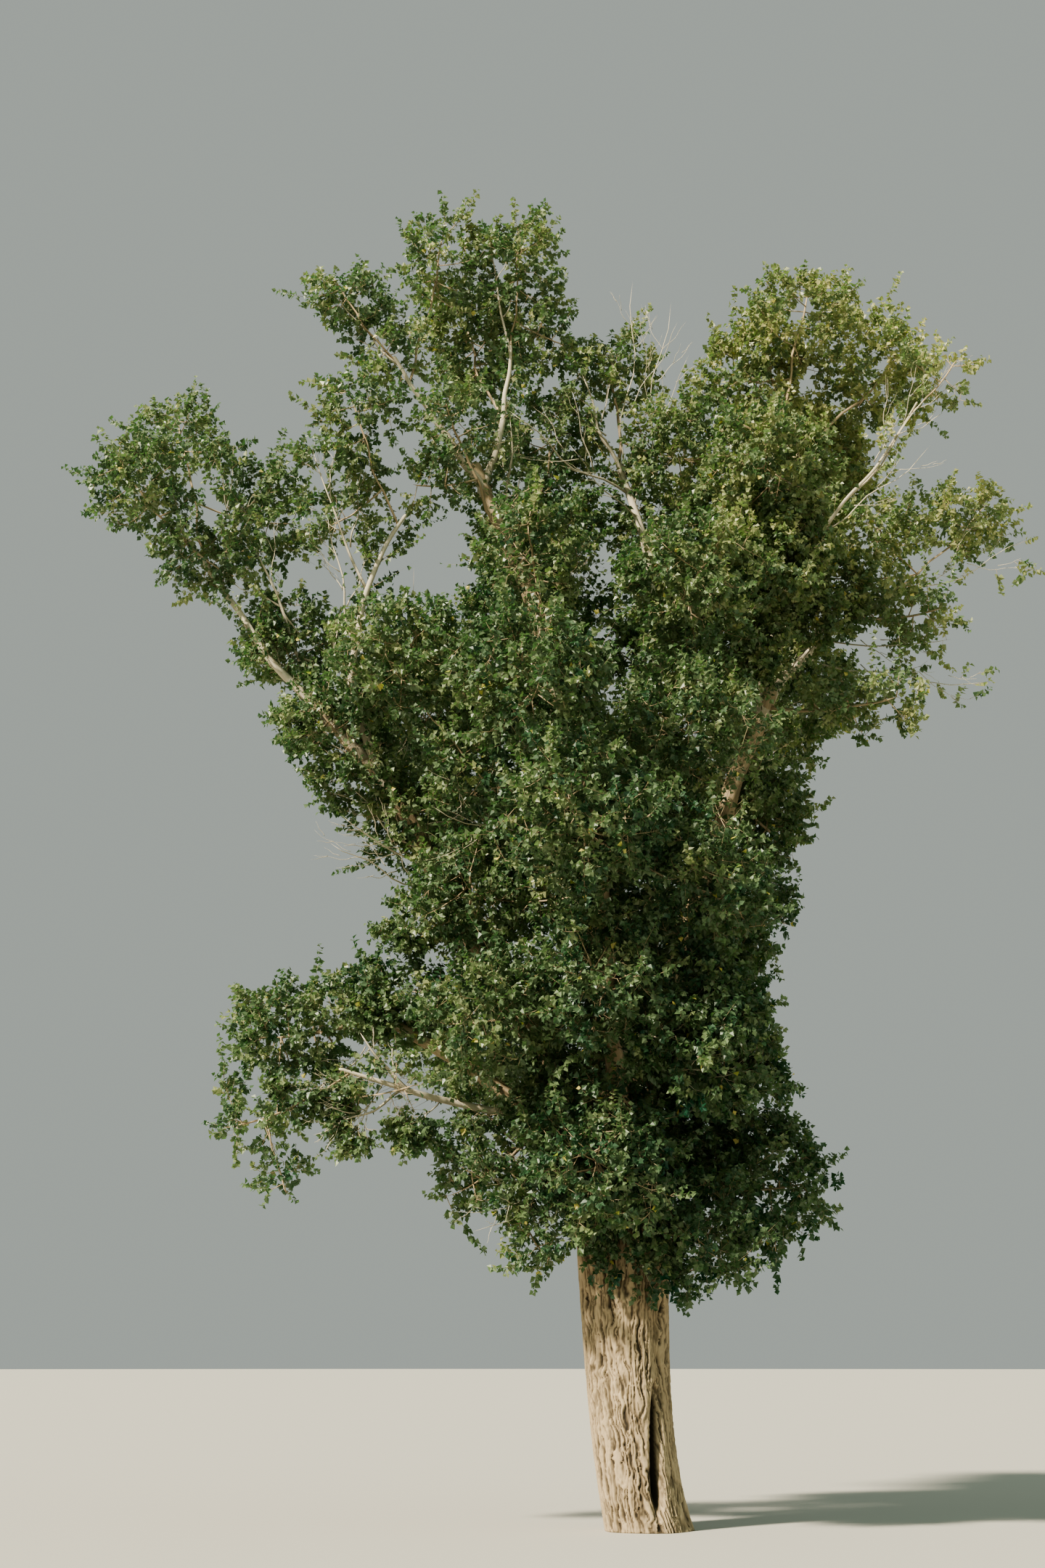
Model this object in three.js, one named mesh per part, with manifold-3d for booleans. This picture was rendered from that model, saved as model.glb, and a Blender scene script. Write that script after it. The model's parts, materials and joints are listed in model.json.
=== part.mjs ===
// A broad-crowned poplar, 14.2 m tall and 10.3 m wide: trunk, boughs and masses of foliage.
// Lengths are in millimetres. +X is east, +Y is north, +Z is up, and the trunk's foot stands on z = 0.
import * as THREE from "three";
import { mergeVertices } from "three/addons/utils/BufferGeometryUtils.js";
import Module from "manifold-3d";

const wasm = await Module();
wasm.setup();

const SAME_CORNER = 1e-3; // corners nearer than this are one
const AT_END = 1e-3; // within this share of its length, a limb's ring is its end

// Trunk
const TRUNK_HEIGHT = 4400; // ground to fork
const TRUNK_WAIST = 365; // radius where it is slimmest
const TRUNK_SWELL = 80; // extra radius by the height of SWELL_HEIGHT
const SWELL_HEIGHT = 2600;
const SWELL_CURVE = 1.5; // over 1, the swell comes mostly near its top
const TRUNK_LEAN = 240; // how far it leans west
const LEAN_HEIGHT = 900; // most of the lean is in this first stretch
const ROOT_FLARE = 55; // extra radius at the ground
const FLARE_HEIGHT = 600;
const SHOULDER_HEIGHT = 3700; // above it the trunk closes in between the boughs
const SHOULDER_LOSS = 0.35;
const TRUNK_SIDES = 24;
const TRUNK_RINGS = 12;
const BUTTRESSES = 5;
const BUTTRESS_DEPTH = 0.035; // share of the radius
// Two folds in the trunk: the cleft beside the east buttress, and the seam where the stems part
const CLEFT = { heading: -70, depth: 120, width: 12, low: 180, high: 1150, fade: 220 };
const SEAM = { heading: -97, depth: 75, width: 16, low: 2300, high: 9000, fade: 700 };

// Boughs
const BOUGH_SIDES = 6;
const BOUGH_RINGS = 5;
const TAPER = 0.8; // under 1, a bough slims faster near its foot
const COLLAR = 0.3; // share by which a bough's foot is wider
const TRUNK_CORE = 170; // boughs start this far off the trunk's axis
const GAP = 0.3; // between pieces that meet

// Twigs and leaves. Each leaf stands for a spray of real ones.
const STEM_RADIUS = 44;
const STEM_SHARE = 0.75; // of the limb that it springs from
const STEM_REACH = 0.5; // how far past a lobe's middle its stem runs, as a share of the lobe
const STEM_SAG = 0.06; // of its length
const STEM_RINGS = 2;
const ARM_SHARES = [0.3, 0.5, 0.7, 0.9]; // where a stem's arm to a second lobe may leave it
const TWIG_RADIUS = 22;
const FIRST_JOINT = 0.35; // twigs spring from the rest of a stem's length
const LAST_JOINT = 0.97;
const JOINT_STEP = 80;
const TWIG_JOINT = 0.55; // where the next twig may spring from a twig
const FOOT_RADIUS = 0.46; // of the twig that it springs from
const NECK_RADIUS = 0.75; // of its foot
const FINEST_TWIG = 4;
const LEAF_SHARE = 0.95; // leaf length, as a share of its lobe's size
const LEAF_WIDTH = 1.2; // of its length
const LEAF_THICKNESS = 0.035; // of its length
const LEAF_WIDEST = 0.36; // share of its length where it is widest
const LEAF_SHOULDER = 0.7; // share of its length where it is half as wide
const LEAF_SPLAY = 1.2; // radians between a leaf and the way straight out of its lobe, at most
const OUTERMOST_SPLAY = 0.15; // the same for the leaf that points away from the trunk
const SHARPEST_BEND = 0.1; // cosine between a twig and its leaf
const STEEP = 0.9; // a way out of a lobe whose rise is over this counts as upright
const LEAVES_PER_M2 = 4.2;
const LIGHT_LEAVES_PER_M2 = 10;
const ROOT_REACH = 0.45; // how far out of its lobe a leaf starts
const LIGHT_ROOT_REACHES = [0.42, 0.42, 0.12]; // the same in a light mass, leaf by leaf
const CORE_REACH = 0.88; // a core's size, as a share of its lobe's
const CORE_LUMPS = 0.28;
const CORE_STEP = 0.05; // a core's corner moves in by such steps until it is free
const SHORTEST_TWIG = 60;
const LOBE_EDGE = 1.07; // leaf tips may reach this far, as a share of their lobe
const LOBE_MARGIN = 0.02; // neighbours' twigs stay this far apart, as a share of their reach
const CLEARANCE = 30; // from twigs to limbs and to other masses' stems
const SAMPLE_STEP = 70;
const LIMB_SAMPLES = 60;
const FOOT_SHARE = 0.4; // the share of a twig that may run beside others at its foot
const TRIES = 40;
const LENGTH_STEP = 0.015; // each new try for a leaf is shorter by this share
const REACH_STEP = 0.008; // and its root is further in
const GOLDEN_ANGLE = Math.PI * (3 - Math.sqrt(5));
const SEED = 151; // changes how the crown grows

// The tree is set out as it looks from the south: places and sizes in the two tables are read
// against the plane of the trunk, and each then moves along its line of sight to its own depth.
const VIEWPOINT = { east: -1200, north: -21950, up: 1600 };

// Each bough leaves its parent at a share of the parent's length and ends at its tip: east, north, up.
// Its bow is how far its middle swings off the straight line, and girth is its radius at foot and tip.
const BOUGHS = [
  { name: "bough_leader", on: "trunk", at: 0.88, girth: [195, 72],
    tip: [-1700, 100, 10910], bow: [420, 0, 0] },
  { name: "bough_east", on: "trunk", at: 0.9, girth: [180, 88],
    tip: [1400, 0, 8350], bow: [-60, 60, 0] },
  { name: "bough_west", on: "trunk", at: 0.8, girth: [165, 90],
    tip: [-2700, -300, 7530], bow: [-80, 0, 120] },
  { name: "bough_front", on: "trunk", at: 0.86, girth: [125, 48],
    tip: [-390, -2100, 6770], bow: [0, -160, -160] },
  { name: "bough_back", on: "trunk", at: 0.87, girth: [140, 55],
    tip: [-180, 2300, 6510], bow: [0, 160, -160] },
  { name: "bough_low_west", on: "trunk", at: 0.74, girth: [120, 48],
    tip: [-2780, -380, 4990], bow: [60, 0, 140] },
  { name: "bough_broken", on: "bough_low_west", at: 0.3, girth: [62, 32],
    tip: [-3020, -800, 4400], bow: [0, -60, -40] },
  { name: "bough_middle", on: "bough_leader", at: 0.3, girth: [105, 42],
    tip: [-170, 600, 11000], bow: [560, 60, -150] },
  { name: "bough_top_west", on: "bough_leader", at: 0.97, girth: [62, 30],
    tip: [-2600, -350, 12210], bow: [40, 0, -110] },
  { name: "bough_top", on: "bough_leader", at: 0.97, girth: [58, 28],
    tip: [-1330, 200, 12350], bow: [50, 0, -60] },
  { name: "bough_far_west", on: "bough_west", at: 0.97, girth: [78, 34],
    tip: [-4830, -320, 10140], bow: [-60, 0, -90] },
  { name: "bough_fork_west", on: "bough_west", at: 0.96, girth: [72, 32],
    tip: [-2480, -600, 10350], bow: [-430, 0, 0] },
  { name: "bough_far_east", on: "bough_east", at: 0.96, girth: [72, 30],
    tip: [2740, 600, 9490], bow: [-150, 0, 60] },
  { name: "bough_east_top", on: "bough_east", at: 0.95, girth: [82, 36],
    tip: [1500, 200, 11210], bow: [60, 60, 0] },
  { name: "bough_bare", on: "bough_east_top", at: 0.5, girth: [44, 20],
    tip: [3100, -500, 11680], bow: [60, -40, -90] },
  { name: "bough_front_high", on: "bough_leader", at: 0.5, girth: [72, 32],
    tip: [-1040, -2000, 9200], bow: [0, -60, -80] },
  { name: "bough_back_high", on: "bough_middle", at: 0.5, girth: [66, 32],
    tip: [750, 2100, 9130], bow: [60, 60, -90] },
  { name: "bough_back_west", on: "bough_west", at: 0.6, girth: [74, 34],
    tip: [-2090, 1900, 7930], bow: [0, 60, -120] },
];

// Each mass of foliage has one stem, from a share of its limb's length, and fills one or two lobes.
// A lobe is its middle, east, north and up, then its spread to the sides and its rise above the middle.
// A light mass has no core.
const MASSES = [
  { name: "foliage_tip_west", on: "bough_top_west", at: 0.97, light: true,
    lobes: [[-3150, -450, 12980, 560, 440], [-2720, -350, 12330, 500, 520]] },
  { name: "foliage_tip_left", on: "bough_top_west", at: 0.85, light: true,
    lobes: [[-2150, 0, 13400, 540, 720]] },
  { name: "foliage_tip_right", on: "bough_top", at: 0.97, light: true,
    lobes: [[-1250, 200, 13400, 600, 720], [-950, 350, 12500, 500, 560]] },
  { name: "foliage_top_back", on: "bough_top", at: 0.5,
    lobes: [[-1750, 1100, 12400, 800, 780]] },
  { name: "foliage_fork_west", on: "bough_fork_west", at: 0.97, light: true,
    lobes: [[-2980, -800, 11500, 560, 720], [-3080, -450, 10400, 420, 520]] },
  { name: "foliage_leader_west", on: "bough_leader", at: 0.88, light: true,
    lobes: [[-1900, -600, 11350, 560, 700], [-2150, -500, 10750, 420, 500]] },
  { name: "foliage_middle_top", on: "bough_middle", at: 0.97,
    lobes: [[-200, 800, 12100, 520, 600], [480, 300, 11100, 680, 780]] },
  { name: "foliage_middle_west", on: "bough_leader", at: 0.8,
    lobes: [[-920, 900, 11200, 700, 700]] },
  { name: "foliage_leader_front", on: "bough_leader", at: 0.72,
    lobes: [[-1100, -1100, 9950, 760, 840]] },
  { name: "foliage_back_top", on: "bough_leader", at: 0.6,
    lobes: [[-1050, 2200, 9300, 950, 950]] },
  { name: "foliage_east_top", on: "bough_east_top", at: 0.97,
    lobes: [[1870, 0, 12660, 760, 660], [1300, 450, 12000, 680, 700]] },
  { name: "foliage_east_shoulder", on: "bough_east_top", at: 0.9,
    lobes: [[2730, 650, 12080, 690, 740]] },
  { name: "foliage_bare_tip", on: "bough_bare", at: 0.95, light: true,
    lobes: [[3400, -600, 12000, 440, 430]] },
  { name: "foliage_east_upper", on: "bough_east_top", at: 0.65,
    lobes: [[1450, -1100, 11000, 880, 780]] },
  { name: "foliage_east_back", on: "bough_east_top", at: 0.8,
    lobes: [[1850, 1700, 10900, 980, 900]] },
  { name: "foliage_far_east", on: "bough_far_east", at: 0.97,
    lobes: [[3580, 700, 10300, 600, 440], [2700, 250, 10150, 620, 480], [1900, 600, 9750, 550, 500]] },
  { name: "foliage_far_east_low", on: "bough_far_east", at: 0.75, light: true,
    lobes: [[2880, 100, 9280, 700, 380]] },
  { name: "foliage_east_low", on: "bough_east", at: 0.97,
    lobes: [[2350, -500, 8300, 720, 400]] },
  { name: "foliage_neck_upper", on: "bough_east", at: 0.78,
    lobes: [[1280, 450, 7000, 660, 700]] },
  { name: "foliage_neck", on: "bough_east", at: 0.5,
    lobes: [[1150, -100, 6000, 520, 600], [840, 250, 5250, 540, 600]] },
  { name: "foliage_middle_front", on: "bough_middle", at: 0.62,
    lobes: [[600, -1500, 9600, 1000, 900], [550, -1500, 8000, 1000, 950]] },
  { name: "foliage_back_east", on: "bough_back_high", at: 0.96,
    lobes: [[900, 2500, 9850, 1050, 950], [1450, 2100, 8300, 1000, 900]] },
  { name: "foliage_front_high", on: "bough_front_high", at: 0.96,
    lobes: [[-1100, -2500, 8550, 1050, 900]] },
  { name: "foliage_front_west", on: "bough_fork_west", at: 0.25,
    lobes: [[-2500, -1400, 8750, 880, 800], [-1700, -1400, 7600, 680, 600]] },
  { name: "foliage_front", on: "bough_front", at: 0.97,
    lobes: [[-600, -2700, 7100, 1050, 920], [600, -2000, 6350, 900, 880]] },
  { name: "foliage_front_low", on: "bough_front", at: 0.5,
    lobes: [[-450, -1900, 5350, 1000, 880], [-1550, -1500, 4980, 850, 780]] },
  { name: "foliage_far_west", on: "bough_far_west", at: 0.97,
    lobes: [[-5350, -550, 10720, 680, 620], [-4650, -400, 9950, 580, 500]] },
  { name: "foliage_far_west_top", on: "bough_far_west", at: 0.85, light: true,
    lobes: [[-4900, 200, 11280, 600, 540], [-3980, 400, 10350, 620, 800]] },
  { name: "foliage_west_upper", on: "bough_far_west", at: 0.25,
    lobes: [[-3600, 250, 8980, 660, 660]] },
  { name: "foliage_west", on: "bough_west", at: 0.95,
    lobes: [[-3150, -600, 7980, 760, 480], [-2450, -350, 6980, 580, 520]] },
  { name: "foliage_waist", on: "bough_west", at: 0.55,
    lobes: [[-1750, -1000, 6250, 820, 760], [-950, -1200, 6200, 620, 560]] },
  { name: "foliage_back_west", on: "bough_back_west", at: 0.96,
    lobes: [[-2250, 2400, 8200, 1050, 950], [-1500, 1700, 6900, 850, 800]] },
  { name: "foliage_back", on: "bough_back", at: 0.96,
    lobes: [[-300, 2900, 7250, 1100, 1000], [300, 2300, 5500, 1000, 900]] },
  { name: "foliage_low_west", on: "bough_low_west", at: 0.97,
    lobes: [[-3650, -400, 4800, 680, 620], [-2600, -100, 5120, 780, 520]] },
  { name: "foliage_low_west_hang", on: "bough_broken", at: 0.96, light: true,
    lobes: [[-3850, -800, 3960, 550, 500], [-2600, -900, 4220, 600, 420],
      [-3600, -800, 3350, 340, 320]] },
  { name: "foliage_skirt_west", on: "bough_low_west", at: 0.3,
    lobes: [[-1450, -550, 3500, 740, 780], [-1050, -700, 2720, 440, 440]] },
  { name: "foliage_skirt_front", on: "trunk", at: 0.78,
    lobes: [[-450, -1300, 3550, 920, 980]] },
  { name: "foliage_low_east", on: "trunk", at: 0.76,
    lobes: [[1250, 50, 3300, 760, 820], [600, -650, 2780, 680, 680]] },
  { name: "foliage_low_east_top", on: "bough_east", at: 0.18,
    lobes: [[720, -350, 4520, 700, 820]] },
  { name: "foliage_low_back", on: "trunk", at: 0.88,
    lobes: [[-300, 1700, 3800, 1000, 880], [-1500, 1400, 4700, 900, 820]] },
];

// Numbers that run the same way each time, from 0 to 1
function seeded(seed) {
  let state = seed;
  return () => {
    state = (state + 0x6d2b79f5) | 0;
    let mixed = Math.imul(state ^ (state >>> 15), 1 | state);
    mixed = (mixed + Math.imul(mixed ^ (mixed >>> 7), 61 | mixed)) ^ mixed;
    return ((mixed ^ (mixed >>> 14)) >>> 0) / 4294967296;
  };
}

const vector = ([east, north, up]) => new THREE.Vector3(east, north, up);
const sightScale = (north) => 1 - north / VIEWPOINT.north;

// A place in the tables, moved along its line of sight to its own depth
function setOut([east, north, up]) {
  const scale = sightScale(north);
  const trueEast = VIEWPOINT.east + scale * (east - VIEWPOINT.east);
  return new THREE.Vector3(trueEast, north, VIEWPOINT.up + scale * (up - VIEWPOINT.up));
}

const clamped = (value) => Math.min(1, Math.max(0, value));

function withSharedCorners(geometry) {
  geometry.deleteAttribute("normal");
  geometry.deleteAttribute("uv");
  return mergeVertices(geometry, SAME_CORNER);
}

// A closed geometry as a solid, and a solid as a mesh whose own origin is at its foot
function solidFrom(geometry) {
  const merged = withSharedCorners(geometry);
  const vertProperties = merged.attributes.position.array;
  const triVerts = new Uint32Array(merged.index.array);
  return new wasm.Manifold(new wasm.Mesh({ numProp: 3, vertProperties, triVerts }));
}

function meshFrom(name, solid, foot, material) {
  const { vertProperties, triVerts } = solid.getMesh();
  const geometry = new THREE.BufferGeometry();
  geometry.setAttribute("position", new THREE.BufferAttribute(vertProperties, 3));
  geometry.setIndex(new THREE.BufferAttribute(triVerts, 1));
  geometry.translate(-foot.x, -foot.y, -foot.z);
  geometry.computeVertexNormals();
  const mesh = new THREE.Mesh(geometry, material);
  mesh.name = name;
  mesh.position.copy(foot);
  return mesh;
}

function largestBody(solid) {
  const bodies = solid.decompose();
  return bodies.reduce((most, body) => (body.volume() > most.volume() ? body : most));
}

// The trunk: its axis leans west and straightens, and its outline flares, swells and folds
function trunkAxis(share) {
  const height = share * TRUNK_HEIGHT;
  return new THREE.Vector3(-TRUNK_LEAN * (1 - Math.exp(-height / LEAN_HEIGHT)), 0, height);
}

function foldDepth(fold, angle, height) {
  const turn = Math.atan2(
    Math.sin(angle - THREE.MathUtils.degToRad(fold.heading)),
    Math.cos(angle - THREE.MathUtils.degToRad(fold.heading)),
  );
  const rising = clamped((height - fold.low) / fold.fade);
  const ending = clamped((fold.high - height) / fold.fade);
  const narrowness = THREE.MathUtils.radToDeg(turn) / fold.width;
  return fold.depth * Math.min(rising, ending) * Math.exp(-narrowness * narrowness);
}

function trunkRadius(share, angle) {
  const height = share * TRUNK_HEIGHT;
  const swell = TRUNK_SWELL * Math.min(1, (height / SWELL_HEIGHT) ** SWELL_CURVE);
  const flare = ROOT_FLARE * Math.exp(-height / FLARE_HEIGHT);
  const shoulder = clamped((height - SHOULDER_HEIGHT) / (TRUNK_HEIGHT - SHOULDER_HEIGHT));
  const round = (TRUNK_WAIST + swell + flare) * (1 - SHOULDER_LOSS * shoulder * shoulder);
  const buttress = 1 + BUTTRESS_DEPTH * Math.cos(BUTTRESSES * angle);
  return round * buttress - foldDepth(CLEFT, angle, height) - foldDepth(SEAM, angle, height);
}

// A limb as a closed tube: a cylinder's rings are carried along the axis and given their radius
function limbSolid(limb, clearance) {
  const geometry = new THREE.CylinderGeometry(1, 1, 1, limb.sides, limb.rings);
  geometry.rotateX(Math.PI / 2);
  const place = geometry.attributes.position;
  for (let i = 0; i < place.count; i += 1) {
    const share = place.getZ(i) + 0.5;
    const angle = Math.atan2(place.getY(i), place.getX(i));
    const out = Math.hypot(place.getX(i), place.getY(i)) * (limb.radius(share, angle) + clearance);
    const point = limb.axis(share);
    if (share < AT_END) point.addScaledVector(limb.heading(0), -clearance);
    if (share > 1 - AT_END) point.addScaledVector(limb.heading(1), clearance);
    point.addScaledVector(limb.side(share), out * Math.cos(angle));
    point.addScaledVector(limb.over(share), out * Math.sin(angle));
    place.setXYZ(i, point.x, point.y, point.z);
  }
  return solidFrom(geometry);
}

const ORIGIN = new THREE.Vector3();
const EAST = new THREE.Vector3(1, 0, 0);
const NORTH = new THREE.Vector3(0, 1, 0);
const UP = new THREE.Vector3(0, 0, 1);
const REFERENCE = new THREE.Vector3(0.2, 1, 0.1).normalize(); // no limb runs this way

const trunk = {
  name: "trunk",
  sides: TRUNK_SIDES,
  rings: TRUNK_RINGS,
  axis: trunkAxis,
  radius: trunkRadius,
  heading: () => UP,
  side: () => EAST,
  over: () => NORTH,
};

// A bough or stem: it tapers along one curve, whose middle swings off the straight line by its bow
function taper({ name, foot, tip, bow, girth, collar, sides, rings }) {
  const middle = foot.clone().lerp(tip, 0.5).addScaledVector(bow, 2);
  const curve = new THREE.QuadraticBezierCurve3(foot, middle, tip);
  const length = curve.getLength();
  const [footRadius, tipRadius] = girth;
  const heading = (share) => curve.getTangent(share);
  const side = (share) => heading(share).cross(REFERENCE).normalize();
  return {
    name,
    sides,
    rings,
    length,
    axis: (share) => curve.getPoint(share),
    radius: (share) => {
      const wider = collar * footRadius * Math.exp((-share * length) / (2 * footRadius));
      return footRadius + (tipRadius - footRadius) * share ** TAPER + wider;
    },
    heading,
    side,
    over: (share) => heading(share).cross(side(share)),
  };
}

function boughFrom(row, parent) {
  const foot = parent.axis(row.at);
  const tip = setOut(row.tip);
  if (parent === trunk) {
    const outward = tip.clone().sub(foot).setZ(0).normalize();
    foot.addScaledVector(outward, TRUNK_CORE);
  }
  const { name, girth } = row;
  const bow = vector(row.bow);
  return taper({ name, foot, tip, bow, girth, collar: COLLAR, sides: BOUGH_SIDES, rings: BOUGH_RINGS });
}

const limbs = new Map([["trunk", trunk]]);
for (const row of BOUGHS) limbs.set(row.name, boughFrom(row, limbs.get(row.on)));

// Each limb is cut clear of the ones before it, its parent among them
const limbSolids = new Map();
const clearOf = new Map();
for (const [name, limb] of limbs) {
  let solid = limbSolid(limb, 0);
  for (const wider of clearOf.values()) {
    if (!solid.intersect(wider).isEmpty()) solid = solid.subtract(wider);
  }
  limbSolids.set(name, largestBody(solid));
  clearOf.set(name, limbSolid(limb, GAP));
}

// How near a point is to a lobe's outside: 0 at its middle, 1 on its outside
function reachIn(lobe, point) {
  const across = Math.hypot(point.x - lobe.middle.x, point.y - lobe.middle.y) / lobe.spread;
  return Math.hypot(across, (point.z - lobe.middle.z) / lobe.rise);
}

const reachInMass = (mass, point) => Math.min(...mass.lobes.map((lobe) => reachIn(lobe, point)));

// A mass's stem runs from its limb's axis through its first lobe, and an arm of it through the second
function stemThrough(lobe, foot, girth) {
  const through = lobe.middle.clone().sub(foot).normalize();
  const reach = STEM_REACH / reachIn({ ...lobe, middle: ORIGIN }, through);
  const tip = lobe.middle.clone().addScaledVector(through, reach);
  const bow = new THREE.Vector3(0, 0, -STEM_SAG * foot.distanceTo(tip));
  return taper({ foot, tip, bow, girth, collar: 0, sides: 3, rings: STEM_RINGS });
}

// Joints lie on the straight stretches between a stem's rings
function jointsOn(stem) {
  const count = Math.ceil((stem.length * (1 - FIRST_JOINT)) / JOINT_STEP);
  return Array.from({ length: count + 1 }, (_, i) => {
    const along = (FIRST_JOINT + ((1 - FIRST_JOINT) * LAST_JOINT * i) / count) * stem.rings;
    const low = Math.floor(along) / stem.rings;
    const high = low + 1 / stem.rings;
    const part = along % 1;
    return {
      point: stem.axis(low).lerp(stem.axis(high), part),
      radius: THREE.MathUtils.lerp(stem.radius(low), stem.radius(high), part),
      owner: null,
    };
  });
}

function massFrom(row, index) {
  const limb = limbs.get(row.on);
  const lobes = row.lobes.map(([east, north, up, spread, rise]) => ({
    middle: setOut([east, north, up]),
    spread: spread * sightScale(north),
    rise: rise * sightScale(north),
  }));
  const foot = limb.axis(row.at);
  const footRadius = Math.min(STEM_RADIUS, STEM_SHARE * limb.radius(row.at, 0));
  const stem = stemThrough(lobes[0], foot, [footRadius, TWIG_RADIUS]);
  const stems = [stem];
  for (const lobe of lobes.slice(1)) {
    const share = ARM_SHARES.reduce((best, other) =>
      stem.axis(other).distanceTo(lobe.middle) < stem.axis(best).distanceTo(lobe.middle) ? other : best,
    );
    const girth = [STEM_SHARE * stem.radius(share), STEM_SHARE * TWIG_RADIUS];
    stems.push(stemThrough(lobe, stem.axis(share), girth));
  }
  const joints = stems.flatMap(jointsOn);
  return { name: row.name, light: row.light === true, index, foot, lobes, stems, joints };
}

const masses = MASSES.map(massFrom);

// What twigs keep clear of: points along every limb, and along every mass's stems
function samplesAlong(limb, owner) {
  return Array.from({ length: LIMB_SAMPLES + 1 }, (_, i) => {
    const share = i / LIMB_SAMPLES;
    return { point: limb.axis(share), radius: limb.radius(share, 0), owner };
  });
}

const obstacles = [
  ...[...limbs.values()].flatMap((limb) => samplesAlong(limb, null)),
  ...masses.flatMap((mass) => mass.stems.flatMap((stem) => samplesAlong(stem, mass))),
];

function isFree(mass, point) {
  const own = reachInMass(mass, point);
  if (own > LOBE_EDGE) return false;
  const crowded = masses.some(
    (other) => other !== mass && reachInMass(other, point) < own + LOBE_MARGIN,
  );
  if (crowded) return false;
  return obstacles.every(
    (thing) =>
      thing.owner === mass || thing.point.distanceTo(point) > thing.radius + CLEARANCE,
  );
}

// Three directions at right angles: along, to the side, and over
function frameAlong(along, sideways) {
  const side = sideways.clone().addScaledVector(along, -along.dot(sideways)).normalize();
  return { along, side, over: along.clone().cross(side) };
}

function placed(origin, frame, forward, sideways, over) {
  return origin
    .clone()
    .addScaledVector(frame.along, forward)
    .addScaledVector(frame.side, sideways)
    .addScaledVector(frame.over, over);
}

// A sprig is one closed shape: a three-sided twig that opens into a leaf of four edges and a tip.
// Its corners are the twig's foot, the neck, the leaf's widest ring, and the tip.
const SPRIG_FACES = [
  [0, 2, 1],
  [0, 1, 4], [0, 4, 3], [1, 2, 5], [1, 5, 4], [2, 0, 3], [2, 3, 5],
  [3, 7, 6], [3, 4, 7], [4, 8, 7], [4, 5, 8], [5, 9, 8], [5, 3, 9], [3, 6, 9],
  [6, 7, 10], [7, 8, 10], [8, 9, 10], [9, 6, 10],
];

function sprigSolid({ from, to, length, twig, neck, leaf }, [footRadius, neckRadius], footShare) {
  const ring = (origin, frame, radius) =>
    [0, 1, 2].map((corner) => {
      const angle = (2 * Math.PI * corner) / 3;
      return placed(origin, frame, 0, radius * Math.cos(angle), radius * Math.sin(angle));
    });
  const widest = LEAF_WIDEST * length;
  const halfWidth = (LEAF_WIDTH * length) / 2;
  const halfThickness = (LEAF_THICKNESS * length) / 2;
  const corners = [
    ...ring(from.clone().lerp(to, footShare), twig, footRadius),
    ...ring(to, neck, neckRadius),
    placed(to, leaf, widest, halfWidth, 0),
    placed(to, leaf, widest, 0, halfThickness),
    placed(to, leaf, widest, -halfWidth, 0),
    placed(to, leaf, widest, 0, -halfThickness),
    placed(to, leaf, length, 0, 0),
  ];
  const geometry = new THREE.BufferGeometry().setFromPoints(corners);
  geometry.setIndex(SPRIG_FACES.flat());
  return solidFrom(geometry);
}

function leafPoints({ to, length, leaf }) {
  const half = LEAF_WIDTH / 2;
  const outline = [[0, 0], [LEAF_WIDEST, -half], [LEAF_WIDEST, half], [LEAF_SHOULDER, -half / 2],
    [LEAF_SHOULDER, half / 2], [1, 0]];
  return outline.map(([forward, sideways]) => placed(to, leaf, forward * length, sideways * length, 0));
}

// A dense lobe has a core, smaller than the lobe and lumpy, that its leaves stand out of
function coreSolid(mass, lobe, random) {
  const core = withSharedCorners(new THREE.IcosahedronGeometry(1, 0));
  core.rotateZ(2 * Math.PI * random());
  const place = core.attributes.position;
  for (let i = 0; i < place.count; i += 1) {
    const outward = new THREE.Vector3().fromBufferAttribute(place, i);
    outward.multiply(new THREE.Vector3(lobe.spread, lobe.spread, lobe.rise));
    const cornerAt = (reach) => lobe.middle.clone().addScaledVector(outward, reach);
    let reach = CORE_REACH * (1 - CORE_LUMPS * random());
    while (reach > 2 * CORE_STEP && !isFree(mass, cornerAt(reach))) reach -= CORE_STEP;
    const corner = cornerAt(reach);
    place.setXYZ(i, corner.x, corner.y, corner.z);
  }
  return solidFrom(core);
}

// The leaves that a lobe should have: their roots lie evenly on all its sides, from the one that
// points away from the trunk, half way up, which grows first and straight
function targetsIn(lobe, light, random) {
  const size = (lobe.spread / 1000) * ((lobe.spread + lobe.rise) / 1000);
  const count = Math.round((light ? LIGHT_LEAVES_PER_M2 : LEAVES_PER_M2) * size);
  const offTrunk = lobe.middle.clone().sub(trunk.axis(1));
  const away = Math.atan2(offTrunk.y, offTrunk.x);
  const halfWayUp = Math.floor(count / 2);
  return Array.from({ length: count }, (_, step) => {
    const i = (step + halfWayUp) % count;
    const outermost = step === 0;
    const up = outermost ? 0 : 1 - (2 * (i + 0.5)) / count;
    const across = Math.sqrt(1 - up * up);
    const heading = away + (i - halfWayUp) * GOLDEN_ANGLE + (outermost ? 0 : random());
    const east = lobe.spread * across * Math.cos(heading);
    const north = lobe.spread * across * Math.sin(heading);
    const outward = new THREE.Vector3(east, north, lobe.rise * up);
    const length = LEAF_SHARE * Math.sqrt(lobe.spread * lobe.rise);
    const reach = light ? LIGHT_ROOT_REACHES[i % LIGHT_ROOT_REACHES.length] : ROOT_REACH;
    const splay = outermost ? OUTERMOST_SPLAY : LEAF_SPLAY;
    return { middle: lobe.middle, outward, length, reach, splay };
  });
}

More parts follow.
